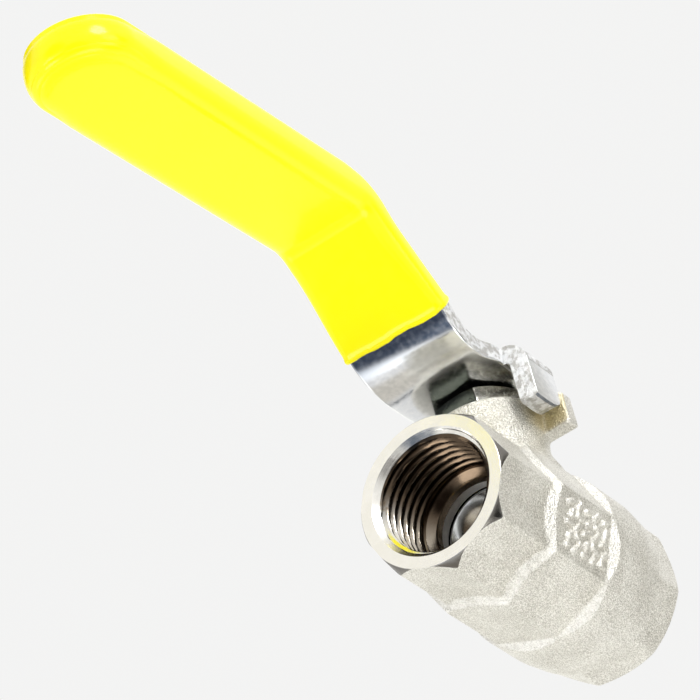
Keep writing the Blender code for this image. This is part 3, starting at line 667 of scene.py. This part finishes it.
def make_body():
    """Drum, octagonal front end, neck and rib fused as one forging, then turned, bored and threaded."""
    drum = revolve("body_forging", [
        (0.0, 13.6), (12.5, 13.6), (12.85, 13.2), (13.9, 11.2), (14.6, 10.6), (DRUM_R, 10.3),
        (DRUM_R, DRUM_TAPER), (DRUM_BACK_R, DRUM_BACK - 0.6), (0.0, DRUM_BACK - 0.6)], "x")
    corner = DRUM_FLAT / math.cos(math.pi / 8)
    facets = loft("facets", [
        [place(r, h, math.tau * i / 8, "x") for i in range(8)]
        for h, r in ((15.3, corner), (-4.6, corner), (-6.6, corner + 2.0), (-8.3, 23.0), (-22.0, 23.5))])
    combine(drum, facets, "INTERSECT")
    end = prism("front_end", 8, END_CORNER_R + 0.32, 8.0, PORT_FRONT + 1.5, "x")
    neck = revolve("neck", [
        (0.0, NECK_TOP), (9.7, NECK_TOP), (10.0, NECK_TOP - 0.3), (9.9, 21.0), (9.5, 17.8), (9.25, 16.0),
        (9.3, 15.0), (9.6, 13.6), (10.1, 12.4), (10.6, 11.2), (10.6, 9.0), (0.0, 9.0)])
    rib = box("rib", (-4.65, 7.0, 18.1), (-1.5, 14.15, 24.15))
    join(drum, end, neck, rib, *generic_marks())
    fuse(drum)
    with_slots(drum)
    turning = with_slots(revolve("turning", [
        (0.0, PORT_FRONT), (FACE_R - 0.12, PORT_FRONT), (FACE_R, PORT_FRONT - 0.12),
        (15.0, PORT_FRONT - CHAMFER_END), (40.0, PORT_FRONT - CHAMFER_END), (40.0, DRUM_BACK),
        (0.0, DRUM_BACK)], "x"), 1)
    combine(drum, turning, "INTERSECT")
    rows = port_rows(1) + [
        (WATERWAY_R, POCKET_FACE), (POCKET_R, POCKET_FACE), (POCKET_R, POCKET_MOUTH), (12.0, 7.1),
        (12.0, -9.4), (12.9, -10.2), (12.9, DRUM_BACK - 1.0), (0.0, DRUM_BACK - 1.0)]
    core = with_slots(revolve_threaded("core", rows, 1))
    port_materials(core, PORT_FRONT)
    combine(drum, core)
    stem_bore = with_slots(revolve("stem_bore", [
        (0.0, 30.0), (PACKING_R + 0.5, 30.0), (PACKING_R + 0.5, NECK_TOP), (PACKING_R, NECK_TOP - 0.5),
        (PACKING_R, PACKING_FLOOR), (STEM_BORE_R, PACKING_FLOOR), (STEM_BORE_R, 15.2), (5.9, 15.2),
        (5.9, 9.0), (0.0, 9.0)], steps=96), 1)
    combine(drum, stem_bore)
    finish_piece(drum, "valve_body", "nickel_plated_brass", BODY_MATS, "body")


def make_end_cap():
    """Octagonal head and the plug that screws into the body, turned and threaded like the front."""
    head = prism("end_cap_forging", 8, CAP_CORNER_R + 0.35, PORT_REAR - 1.5, DRUM_BACK + 0.6, "x",
                 turn=CAP_TWIST)
    fuse(head)
    with_slots(head)
    near = DRUM_BACK - 0.3
    turning = with_slots(revolve("cap_turning", [
        (0.0, near), (13.2, near), (14.8, near - 0.35), (14.8, PORT_REAR + CHAMFER + 0.4),
        (FACE_R, PORT_REAR + 0.12), (FACE_R - 0.12, PORT_REAR), (0.0, PORT_REAR)], "x"), 1)
    combine(head, turning, "INTERSECT")
    plug = with_slots(revolve("cap_plug", [
        (0.0, -8.8), (11.5, -8.8), (12.6, -10.8), (12.6, -18.1), (11.5, -18.1), (11.5, near - 2.0),
        (0.0, near - 2.0)], "x"), 1)
    combine(head, plug, "UNION")
    rows = port_rows(-1) + [(WATERWAY_R, -POCKET_FACE), (POCKET_R, -POCKET_FACE), (POCKET_R, -5.0),
                            (0.0, -5.0)]
    core = with_slots(revolve_threaded("cap_core", rows, -1))
    port_materials(core, PORT_REAR)
    combine(head, core)
    finish_piece(head, "valve_body", "nickel_plated_brass", BODY_MATS, "end_cap")


# ------------------------------------------------------------------ ball, seats, stem, nuts

def make_ball():
    """Bored ball with the slot that takes the stem's tongue."""
    lip_r = BALL_BORE_R + BALL_LIP
    start = math.degrees(math.asin(lip_r / BALL_R))
    sphere = [(y, x) for x, y in arc(0.0, 0.0, BALL_R, start, 180.0 - start, 72)]
    edge = math.sqrt(BALL_R * BALL_R - lip_r ** 2)
    profile = sphere + [(BALL_BORE_R, -edge - 0.02), (BALL_BORE_R, edge + 0.02)]
    ball = revolve("ball_polished", profile, "x", ring=True)
    slot_box = bevel(box("slot", (-2.2, -12.0, 8.7), (2.2, 12.0, 14.0)), 0.3, 2)
    combine(ball, slot_box)
    finish_piece(ball, "ball", "chromed_brass", (CHROME,), "ball")


def make_seat(name, sign, node):
    """Seat ring with a hollow face round the ball, on the side of the port that sign names."""
    reach, near, far, outer, inner = 11.9, 8.3, 10.9, 10.6, 7.7
    rim = math.sqrt(reach ** 2 - near ** 2)
    face = []
    for i in range(9):
        r = inner + (rim - inner) * i / 8
        face.append((r, sign * math.sqrt(reach ** 2 - r ** 2)))
    profile = face + [(outer - 0.25, sign * near), (outer, sign * (near + 0.25)), (outer, sign * (far - 0.2)),
                      (outer - 0.2, sign * far), (7.9, sign * far), (inner, sign * (far - 0.2))]
    seat = revolve(name, profile, "x", ring=True, steps=112)
    finish_piece(seat, "valve_body", "ptfe", (PTFE,), node)


def make_stem():
    """Stem with its O-ring groove, collar, two flats for the lever and tongue for the ball.

    Its threaded top is not formed: revolve puts the THREADED rows on the axis, which leaves the top
    face as a loose disc above the handle nut. This is a known fault.
    """
    pitch, top, low, count = 1.0, STEM_TOP, 32.0, 60
    shank, groove, collar = 4.0, 3.1, 5.6

    def radius(r, h, theta):
        if r > 0:
            return r
        wave = abs(2.0 * ((h / pitch - theta / math.tau) % 1.0) - 1.0)
        return 2.45 + 0.53 * min(1.0, wave * 1.15)

    rows = [(0.0, top), (2.2, top), (2.5, top - 0.3)]
    rows += [(THREADED, top - 0.3 - (top - 0.3 - low) * i / count) for i in range(1, count)]
    rows += [(2.95, low), (2.95, 31.28), (3.7, 31.28), (shank, 31.0), (shank, 16.8), (groove, 16.8),
             (groove, 15.6), (shank, 15.6), (shank, 13.8), (5.4, 13.8), (collar, 13.6), (collar, 12.2),
             (5.4, 12.0), (0.0, 12.0)]
    stem = revolve("stem_turned", rows, steps=72, radius=radius)
    for sign in (-1.0, 1.0):
        near, far = sorted((sign * 2.9, sign * 8.0))
        combine(stem, box("flat", (near, -8.0, 27.7), (far, 8.0, 32.2)))
    combine(stem, bevel(box("tang", (-1.85, -4.0, 9.0), (1.85, 4.0, 12.8)), 0.25, 2), "UNION")
    finish_piece(stem, "handle_assembly", "brass", (BRASS,), "stem")


def hex_nut(name, across, low, high, bevel_low, bevel_high, turn, bore, slot, mat, body, node,
            spigot=None):
    """Hexagon nut from low to high; spigot is the radius and lower end of a round nose under it."""
    corner = across / math.sqrt(3)
    nut = revolve(name, [
        (0.0, high), (across / 2 - 0.1, high), (corner + 0.2, high - bevel_high),
        (corner + 0.2, low + bevel_low), (across / 2 - 0.1 if bevel_low else corner + 0.15, low),
        (0.0, low)], steps=96)
    flats = bevel(prism("flats", 6, corner, low - 2.0, high + 2.0, turn=turn), 0.22, 3)
    combine(nut, flats, "INTERSECT")
    if spigot:
        combine(nut, revolve("spigot", [(0.0, low + 1.0), (spigot[0], low + 1.0), (spigot[0], spigot[1]),
                                        (0.0, spigot[1])], steps=80), "UNION")
    cutter = revolve("bore", [(0.0, high + 1.0), (bore + 1.4, high + 1.0), (bore, high - 0.4),
                              (bore, low - 3.0), (0.0, low - 3.0)], steps=72)
    combine(nut, cutter)
    bevel(nut, 0.12, 2, 30.0)
    finish_piece(nut, body, slot, (mat,), node, angle=30.0)


def make_lock_washer():
    """Split spring washer with its ends a little apart in height."""
    low, high, inner, outer = 31.62, 32.78, 3.35, 4.95
    rings = []
    for i in range(65):
        a = math.radians(4 + 352 * i / 64)
        lift = 0.16 * (i / 64 - 0.5)
        under = [(inner, low + 0.12 + lift), (inner + 0.12, low + lift), (outer - 0.12, low + lift),
                 (outer, low + 0.12 + lift)]
        over = [(outer, high - 0.25 + lift), (outer - 0.12, high - 0.13 + lift),
                (inner + 0.12, high - 0.13 + lift), (inner, high - 0.25 + lift)]
        rings.append([(r * math.cos(a), r * math.sin(a), z) for r, z in under + over])
    washer = loft("lock_washer_split", rings)
    finish_piece(washer, "handle_assembly", "plated_steel", (ZINC,), "lock_washer")


# ------------------------------------------------------------------ lever and grip

def smooth_step(t):
    t = min(1.0, max(0.0, t))
    return t * t * (3 - 2 * t)


def spine(t, radius):
    """Point and direction of the lever's underside; t counts from the slope's corner along the strap."""
    reach = radius * math.tan(SLOPE / 2)
    knee_reach = KNEE_BEND * math.tan((SLOPE - DROOP) / 2)
    if t <= -reach:
        return SLOPE_START + t, HUB_UNDER, 0.0
    if t < reach:
        a = SLOPE * (t + reach) / (2 * reach)
        return SLOPE_START - reach + radius * math.sin(a), HUB_UNDER + radius * (1 - math.cos(a)), a
    if t <= TO_KNEE - knee_reach:
        return SLOPE_START + t * math.cos(SLOPE), HUB_UNDER + t * math.sin(SLOPE), SLOPE
    knee_z = HUB_UNDER + TO_KNEE * math.sin(SLOPE)
    if t < TO_KNEE + knee_reach:
        a = SLOPE + (DROOP - SLOPE) * (t - TO_KNEE + knee_reach) / (2 * knee_reach)
        x = KNEE_X - knee_reach * math.cos(SLOPE) + KNEE_BEND * (math.sin(SLOPE) - math.sin(a))
        z = knee_z - knee_reach * math.sin(SLOPE) + KNEE_BEND * (math.cos(a) - math.cos(SLOPE))
        return x, z, a
    past = t - TO_KNEE
    return KNEE_X + past * math.cos(DROOP), knee_z + past * math.sin(DROOP), DROOP


def bend_radius(y):
    """The bend above the hub is tight beside the stop tab and opens out towards the plain side."""
    return 11.2 - 0.36 * max(-10.0, min(10.0, y))


def flange_at(t):
    rise = ((-7.0, 0.06), (9.0, 1.0), (20.0, 1.4), (32.5, FLANGE))
    if t <= rise[0][0]:
        return rise[0][1]
    for (t0, f0), (t1, f1) in zip(rise, rise[1:]):
        if t < t1:
            return f0 + (f1 - f0) * smooth_step((t - t0) / (t1 - t0))
    return FLANGE


def halves(t):
    """Half widths of the lever on the +Y and the -Y side."""
    x = spine(t, bend_radius(0.0))[0]
    narrow = smooth_step((t - 5.0) / 17.0)
    right = 8.95 - 0.5 * narrow + 0.85 * smooth_step((12.4 - x) / 4.2)
    left = 9.55 - 0.6 * narrow - 0.2 * smooth_step((9.0 - x) / 5.0)
    rear = 3.0 - math.sqrt(max(0.0, 9.0 - min(max(0.0, -9.3 - x), 3.0) ** 2))
    return right - rear, left - 0.35 * rear


def side_profile(half, flange, grow, edge, under, fill=0.0, squeeze=0.0):
    """Right half of the handle's section, from the middle of the underside round to the channel floor.

    grow offsets it outwards; edge and under are the radii of the rim and of the underside's corners;
    squeeze takes the same amount off top and bottom.
    """
    side = half + grow
    low, rim = -grow + squeeze, PLATE + flange + grow - squeeze
    wall = PLATE + 2 * grow
    inner = max(side - wall, 0.6) * (1.0 - 0.5 * fill)
    floor = min(PLATE + grow + fill * (rim - PLATE - grow), rim)
    edge = min(edge, (rim - low) * 0.45, (side - inner) * 0.48)
    under = min(under, side * 0.8, (rim - low) * 0.5)
    drop = max(rim - floor, 0.0)
    inner_edge = min(edge, drop)
    fillet = min(1.0, max(drop - inner_edge, 0.0), inner * 0.6)
    points = [((side - under) * i / 6, low) for i in range(6)]
    points += arc(side - under, low + under, under, -90, 0, 8)
    points += arc(side - edge, rim - edge, edge, 0, 90, 6)
    points += [(side - edge + (inner - side + 2 * edge) * 0.5, rim)]
    for i in range(7):
        a = math.radians(90 + 90 * i / 6)
        points.append((inner + edge + edge * math.cos(a), rim - inner_edge + inner_edge * math.sin(a)))
    for i in range(6):
        a = math.radians(-90 * i / 5)
        points.append((inner - fillet + fillet * math.cos(a), floor + fillet + fillet * math.sin(a)))
    points += [((inner - fillet) * (1 - i / 5), floor) for i in range(1, 5)]
    return points


def section(t, grow, edge, under, fill=0.0, squeeze=0.0):
    """Closed loop of (y, height) points across the lever at t."""
    right, left = halves(t)
    middle = (right - left) / 2
    points = side_profile((right + left) / 2, flange_at(t), grow, edge, under, fill, squeeze)
    low, top = points[0], points[-1]
    loop = [(middle, low[1])] + [(middle + y, z) for y, z in points[1:]]
    return loop + [(middle, top[1])] + [(middle - y, z) for y, z in reversed(points[1:])]


def ring_at(t, section):
    ring = []
    for y, up in section:
        x, z, a = spine(t, bend_radius(y))
        ring.append((x - up * math.sin(a), y, z + up * math.cos(a)))
    return ring


def tip_rings(profile, steps):
    """The rounded end: the last section swung round an upright axis on the handle's middle line."""
    middle = profile[0][0]
    rings = []
    for i in range(1, steps + 1):
        swing = math.pi / 2 * i / steps
        ring = []
        for y, up in profile:
            x, z, a = spine(TIP_START + abs(y - middle) * math.sin(swing), bend_radius(0.0))
            ring.append((x - up * math.sin(a), middle + (y - middle) * math.cos(swing), z + up * math.cos(a)))
        rings.append(ring)
    return rings


def close_tip(obj, ends=1):
    """Welds the swung sections together where they meet; ends counts the loft's end caps to drop."""
    bm = bmesh.new()
    bm.from_mesh(obj.data)
    bm.faces.ensure_lookup_table()
    bmesh.ops.delete(bm, geom=list(bm.faces)[len(bm.faces) - ends:], context="FACES_ONLY")
    bmesh.ops.remove_doubles(bm, verts=bm.verts, dist=0.004)
    bmesh.ops.dissolve_degenerate(bm, edges=bm.edges, dist=0.001)
    bmesh.ops.recalc_face_normals(bm, faces=bm.faces)
    bm.to_mesh(obj.data)
    bm.free()
    return obj


def tab_outline(start, out, sign):
    """Section of a stop tab: from start along the hub to out, round the bend and down to the foot."""
    outline = [(sign * start, HUB_UNDER + TAB_SINK)]
    for i in range(9):
        a = math.radians(90 * i / 8)
        outline.append((sign * (out + TAB_BEND * math.sin(a)),
                        HUB_UNDER - TAB_BEND + TAB_BEND * math.cos(a) + TAB_SINK))
    outline += [(sign * (out + TAB_BEND), TAB_FOOT), (sign * (out + TAB_BEND + PLATE), TAB_FOOT)]
    radius = TAB_BEND + PLATE
    for i in range(13):
        a = math.radians(90 - 90 * i / 12)
        outline.append((sign * (out + radius * math.sin(a)),
                        HUB_UNDER - TAB_BEND + radius * math.cos(a) - TAB_SINK))
    return outline + [(sign * start, HUB_UNDER + PLATE - TAB_SINK)]


def make_lever():
    """Pressed strap lofted along its spine, with two stop tabs and the hole for the stem's flats."""
    rings = []
    hub = [-30.0, -29.9, -29.7, -29.4, -29.0, -28.5, -27.9, -27.3] + [-26.7 + 1.0 * i for i in range(17)]
    bend = [-10.0 + 0.45 * i for i in range(45)]
    knee = [11.0 + 1.5 * i for i in range(9)] + [24.0 + 0.4 * i for i in range(17)]
    handle = [32.0 + 3.0 * i for i in range(19)] + [TIP_START - d for d in (6.0, 4.0, 2.0, 0.0)]
    stations = sorted(t for t in hub + bend + knee + handle if t <= TIP_START)
    for t in stations:
        past = max(0.0, HUB_END - t)
        pinch = max(0.0, HUB_END_EDGE - math.sqrt(max(0.0, HUB_END_EDGE ** 2 - past ** 2)))
        under = 0.5 + 0.9 * smooth_step((t - 8) / 10)
        fill = smooth_step((t - TIP_START + LEVER_FILL) / LEVER_FILL)
        rings.append(ring_at(t, section(t, 0.0, LEVER_EDGE, under, fill, pinch)))
    rings += tip_rings(section(TIP_START, 0.0, LEVER_EDGE, HANDLE_UNDER, 1.0), LEVER_SWINGS)
    lever = close_tip(loft("lever_plate", rings))
    tab = extrude("tab", tab_outline(6.5, SIDE_TAB, 1.0), -1.2, 7.0, "x")
    side = [(-1.2, 32.0), (-1.2, 22.6), (-0.95, 21.7), (-0.3, 20.8), (0.7, 20.2), (2.0, 19.9),
            (3.4, TAB_FOOT), (6.3, TAB_FOOT), (6.8, 20.0), (7.0, 20.5), (7.0, 32.0)]
    combine(tab, extrude("tab_side", side, 5.0, 16.0, "y"), "INTERSECT")
    combine(lever, bevel(tab, 0.3, 3, 50.0), "UNION")
    tab = extrude("tab_rear", tab_outline(6.0, REAR_TAB, -1.0), -8.4, -5.0, "y")
    bevel(tab, 0.3, 3, 50.0)
    combine(lever, tab, "UNION")
    hole = prism("hole", 64, STEM_BORE_R, HUB_UNDER - 1.0, HUB_UNDER + 6.0)
    flats = box("hole_flats", (-3.2, -8.0, HUB_UNDER - 2.0), (3.2, 8.0, HUB_UNDER + 8.0))
    combine(hole, flats, "INTERSECT")
    combine(lever, hole)
    finish_piece(lever, "handle_assembly", "plated_steel", (PLATING,), "lever", angle=40.0)


def make_grip():
    """Dipped coating: an outer skin with a soft bead at its mouth and an inner skin SKIN_GAP off the
    lever's section. Near the mouth and at the tip the lever still cuts into the coat in places, and
    the faces point inwards; both are known faults.
    """
    def outer(t):
        from_mouth = t - MOUTH_AT
        lip = LIP + (COAT - LIP) * math.sqrt(max(0.0, 1 - max(0.0, 1 - from_mouth / LIP_ROUND) ** 2))
        grow = lip + BEAD * math.exp(-((from_mouth - BEAD_AT) / LIP_ROUND) ** 2)
        fill = smooth_step((t - TIP_START + COAT_FILL) / COAT_FILL)
        under = 1.6 + 1.3 * smooth_step((t - 8.0) / 16.0) + 0.6 * fill
        edge = 2.1 + 1.1 * fill
        return section(t, grow, edge, under, fill)

    def inner(t):
        fill = smooth_step((t - TIP_START + LEVER_FILL) / LEVER_FILL)
        return section(t, SKIN_GAP, SKIN_EDGE, HANDLE_UNDER, fill)

    mouth = [0.0, 0.04, 0.1, 0.2, 0.32, 0.45, 0.6, 0.75, 0.9, 1.1, 1.35, 1.7, 2.2, 2.8, 3.5]
    outer_at = [MOUTH_AT + d for d in mouth] + [11.0 + 0.8 * i for i in range(16)]
    outer_at += [24.0 + 0.35 * i for i in range(20)] + [31.5 + 1.5 * i for i in range(37)]
    outer_at = [t for t in outer_at if t < TIP_START - 8.5] + [TIP_START - 8.0 + i for i in range(9)]
    inner_at = [MOUTH_AT + 1.0 * i for i in range(17)] + [24.0 + 0.6 * i for i in range(12)]
    inner_at += [32.0 + 5.0 * i for i in range(11)]
    inner_at = [t for t in inner_at if t < TIP_START - 6.5] + [TIP_START - d for d in (6.0, 4.0, 2.0, 0.0)]
    skin = [ring_at(t, inner(t)) for t in inner_at] + tip_rings(inner(TIP_START), SKIN_SWINGS)
    coat = [ring_at(t, outer(t)) for t in outer_at] + tip_rings(outer(TIP_START), COAT_SWINGS)
    skin.reverse()
    grip = close_tip(loft("grip_coating", skin + coat), 2)
    start_x, start_z, slope = spine(MOUTH_AT, bend_radius(0.0))
    for vert in grip.data.vertices:
        ahead = (vert.co.x - start_x) * math.cos(slope) + (vert.co.z - start_z) * math.sin(slope)
        if -1.5 < ahead < 4.0:
            y = vert.co.y
            wave = -0.1 * (y / 9.0) ** 2 - 0.05 * y / 9.0
            wave += 0.16 * math.sin(y * 0.75 + 0.6)
            wave += 0.06 * math.sin(y * 2.1 + 2.0)
            wave *= 1 - smooth_step(ahead / 4.0)
            vert.co.x += wave * math.cos(slope)
            vert.co.z += wave * math.sin(slope)
    finish_piece(grip, "handle_assembly", "yellow_vinyl", (VINYL,), "grip_sleeve", angle=0.0)


make_body()
make_end_cap()
make_ball()
make_seat("seat_ring_front", 1.0, "seat_front")
make_seat("seat_ring_rear", -1.0, "seat_rear")
make_stem()
hex_nut("gland_nut_turned", 14.0, 23.6, 27.5, 0.0, 0.65, 25.0, 4.3, "nickel_plated_nut", NUT_NICKEL,
        "valve_body", "gland_nut", spigot=(5.9, 21.9))
hex_nut("handle_nut_turned", 10.0, 33.1, 37.9, 0.5, 0.5, 12.0, 3.3, "plated_steel", ZINC,
        "handle_assembly", "handle_nut")
make_lock_washer()
make_lever()
make_grip()

for node, mat, slot in (
        ("joint_seal", RUBBER, "black_rubber"), ("stem_o_ring", RUBBER, "black_rubber"),
        ("thrust_washer", PTFE, "ptfe"), ("packing_lower", PTFE, "ptfe"), ("packing_upper", PTFE, "ptfe"),
        ("packing_follower", BRASS, "brass")):
    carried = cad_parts[node]
    carried.data.materials.clear()
    carried.data.materials.append(mat)


# ------------------------------------------------------------------ floor, light, camera

LENS, SENSOR = 231.43, 36.0
SIGHT_Y = -0.355      # Y of the rays that the lever's underside reflects to the camera
CAMERA_AT = Vector((0.56040, 0.24841, -0.37547 - STEM_TOP * MM))
RIGHT = Vector((-0.5526, 0.8037, -0.2210))
UP = Vector((0.3770, 0.4774, 0.7937))
BACK = Vector((0.7433, 0.3553, -0.5668))


def make_camera():
    data = bpy.data.cameras.new("camera")
    data.sensor_width = SENSOR
    data.lens = LENS
    data.clip_start, data.clip_end = 0.05, 10.0
    camera = bpy.data.objects.new("camera", data)
    camera.matrix_world = Matrix((
        (RIGHT.x, UP.x, BACK.x, CAMERA_AT.x), (RIGHT.y, UP.y, BACK.y, CAMERA_AT.y),
        (RIGHT.z, UP.z, BACK.z, CAMERA_AT.z), (0.0, 0.0, 0.0, 1.0)))
    scene.collection.objects.link(camera)
    scene.camera = camera


def make_floor():
    """Pale floor under the valve. From below the floor's level it lets the view through."""
    low = cad_box[0].z - 0.0005
    half = 1.6
    corners = [(-half, -half, low), (half, -half, low), (half, half, low), (-half, half, low)]
    floor = add_mesh("floor", corners, [(0, 1, 2, 3)])
    n = Nodes("floor_paper")
    here = n.node("ShaderNodeVectorTransform", vector_type="POINT", convert_from="CAMERA",
                  convert_to="WORLD")
    here.inputs[0].default_value = (0.0, 0.0, 0.0)
    below = n.math("LESS_THAN", n.separate(here.outputs[0])[2], low)
    mottle = n.noise(n.coords((0.02, 0.02, 0.02)), 1.0)
    colour = n.mix(n.ramp(mottle, 0.3, 0.7), (0.86, 0.86, 0.855), (0.89, 0.89, 0.885))
    n.done(colour, 0.6, 0.0)
    clear = n.node("ShaderNodeBsdfTransparent")
    mixer = n.node("ShaderNodeMixShader")
    n.link(below, mixer.inputs[0])
    n.link(n.bsdf.outputs[0], mixer.inputs[1])
    n.link(clear.outputs[0], mixer.inputs[2])
    out = n.tree.nodes["Material Output"]
    n.link(mixer.outputs[0], out.inputs["Surface"])
    floor.data.materials.append(n.mat)


def make_world():
    """Soft white studio: a pale surround with broad bright panels and a few dark gaps between them."""
    world = bpy.data.worlds.new("studio")
    world.use_nodes = True
    scene.world = world
    n = Nodes.__new__(Nodes)
    n.tree = world.node_tree
    coord = n.node("ShaderNodeTexCoord").outputs["Generated"]
    background = n.tree.nodes["Background"]

    def facing(direction):
        item = n.node("ShaderNodeVectorMath", operation="DOT_PRODUCT")
        n.link(coord, item.inputs[0])
        item.inputs[1].default_value = Vector(direction).normalized()
        return item.outputs["Value"]

    def panel(colour, below, direction, inner, outer):
        """Mixes a colour in within a cone: full inside inner degrees, none outside outer degrees."""
        mask = n.ramp(facing(direction), math.cos(math.radians(outer)), math.cos(math.radians(inner)))
        return n.mix(mask, below, colour)

    parts = n.separate(coord)
    sky = n.mix(n.ramp(parts[2], -0.6, 0.7), (0.86, 0.86, 0.86), (1.0, 1.0, 1.0))
    for colour, direction, inner, outer in PANELS:
        sky = panel(colour, sky, direction, inner, outer)
    # bands seen along the bend of the lever's underside, as tilt of the reflected ray in the lever's plane
    tilt = n.times(n.math("ARCTAN2", parts[0], n.times(parts[2], -1.0)), 180.0 / math.pi)
    level = n.math("ABSOLUTE", n.plus(parts[1], -SIGHT_Y))
    gate = n.times(n.ramp(parts[2], -0.35, -0.5), n.ramp(level, 0.42, 0.28))
    for colour, start, end, soft in BANDS:
        mask = n.times(n.ramp(tilt, start - soft, start), n.ramp(tilt, end + soft, end))
        sky = n.mix(n.times(mask, gate), sky, colour)
    camera_ray = n.node("ShaderNodeLightPath").outputs["Is Camera Ray"]
    sky = n.mix(camera_ray, sky, (0.90, 0.90, 0.895))
    n.link(sky, background.inputs["Color"])
    background.inputs["Strength"].default_value = 1.0


# Panels in the world: colour, direction, and the angles at which each is full and gone, in degrees
PANELS = (
    ((0.62, 0.61, 0.57), (-0.77, 0.63, 0.13), 18, 38),
    ((1.15, 1.15, 1.1), (-0.77, -0.63, -0.13), 14, 32),
    ((1.6, 1.58, 1.52), (-0.77, 0.13, -0.63), 14, 30),
    ((4.2, 4.2, 4.1), (0.14, 0.32, -0.93), 12, 22),
    ((0.02, 0.02, 0.02), (-0.11, 0.79, -0.61), 14, 22),
    ((0.04, 0.04, 0.04), (-0.25, 0.95, 0.10), 9, 15),
    ((0.03, 0.035, 0.03), (-0.07, -0.84, 0.53), 13, 24),
    ((3.2, 3.2, 3.1), (0.12, 0.99, 0.03), 9, 17),
    ((2.6, 2.6, 2.5), (-0.05, -0.82, -0.57), 9, 17),
    ((1.08, 1.07, 1.03), (0.77, -0.35, 0.53), 10, 22),
    ((1.3, 1.3, 1.25), (-0.77, -0.37, 0.52), 8, 18),
    ((0.10, 0.07, 0.05), (0.95, -0.28, 0.05), 14, 26),
    ((0.06, 0.05, 0.05), (0.80, 0.30, -0.45), 14, 30),
)
# Bands across the world: colour, first and last tilt and softness, in degrees
BANDS = (
    ((0.08, 0.11, 0.17), 30.5, 46.0, 11.0),
    ((1.7, 1.75, 1.8), 11.0, 18.0, 7.0),
    ((0.62, 0.59, 0.53), -38.0, -10.0, 8.0),
    ((0.05, 0.06, 0.08), -50.0, -47.0, 2.5),
)


def area_light(name, at, size, power):
    """White disk light aimed at the valve."""
    data = bpy.data.lights.new(name, "AREA")
    data.shape, data.size, data.energy = "DISK", size, power
    light = bpy.data.objects.new(name, data)
    light.location = at
    light.rotation_mode = "QUATERNION"
    light.rotation_quaternion = (Vector(LIT_POINT) - Vector(at)).to_track_quat("-Z", "Y")
    scene.collection.objects.link(light)


LIT_POINT = (0.02, 0.0, -0.03)

make_camera()
make_floor()
make_world()
area_light("key", (0.35, 0.55, 0.30), 0.30, 3.0)
area_light("fill", (0.55, -0.35, -0.34), 0.35, 1.5)

scene.view_settings.view_transform = "Standard"
scene.cycles.use_denoising = True
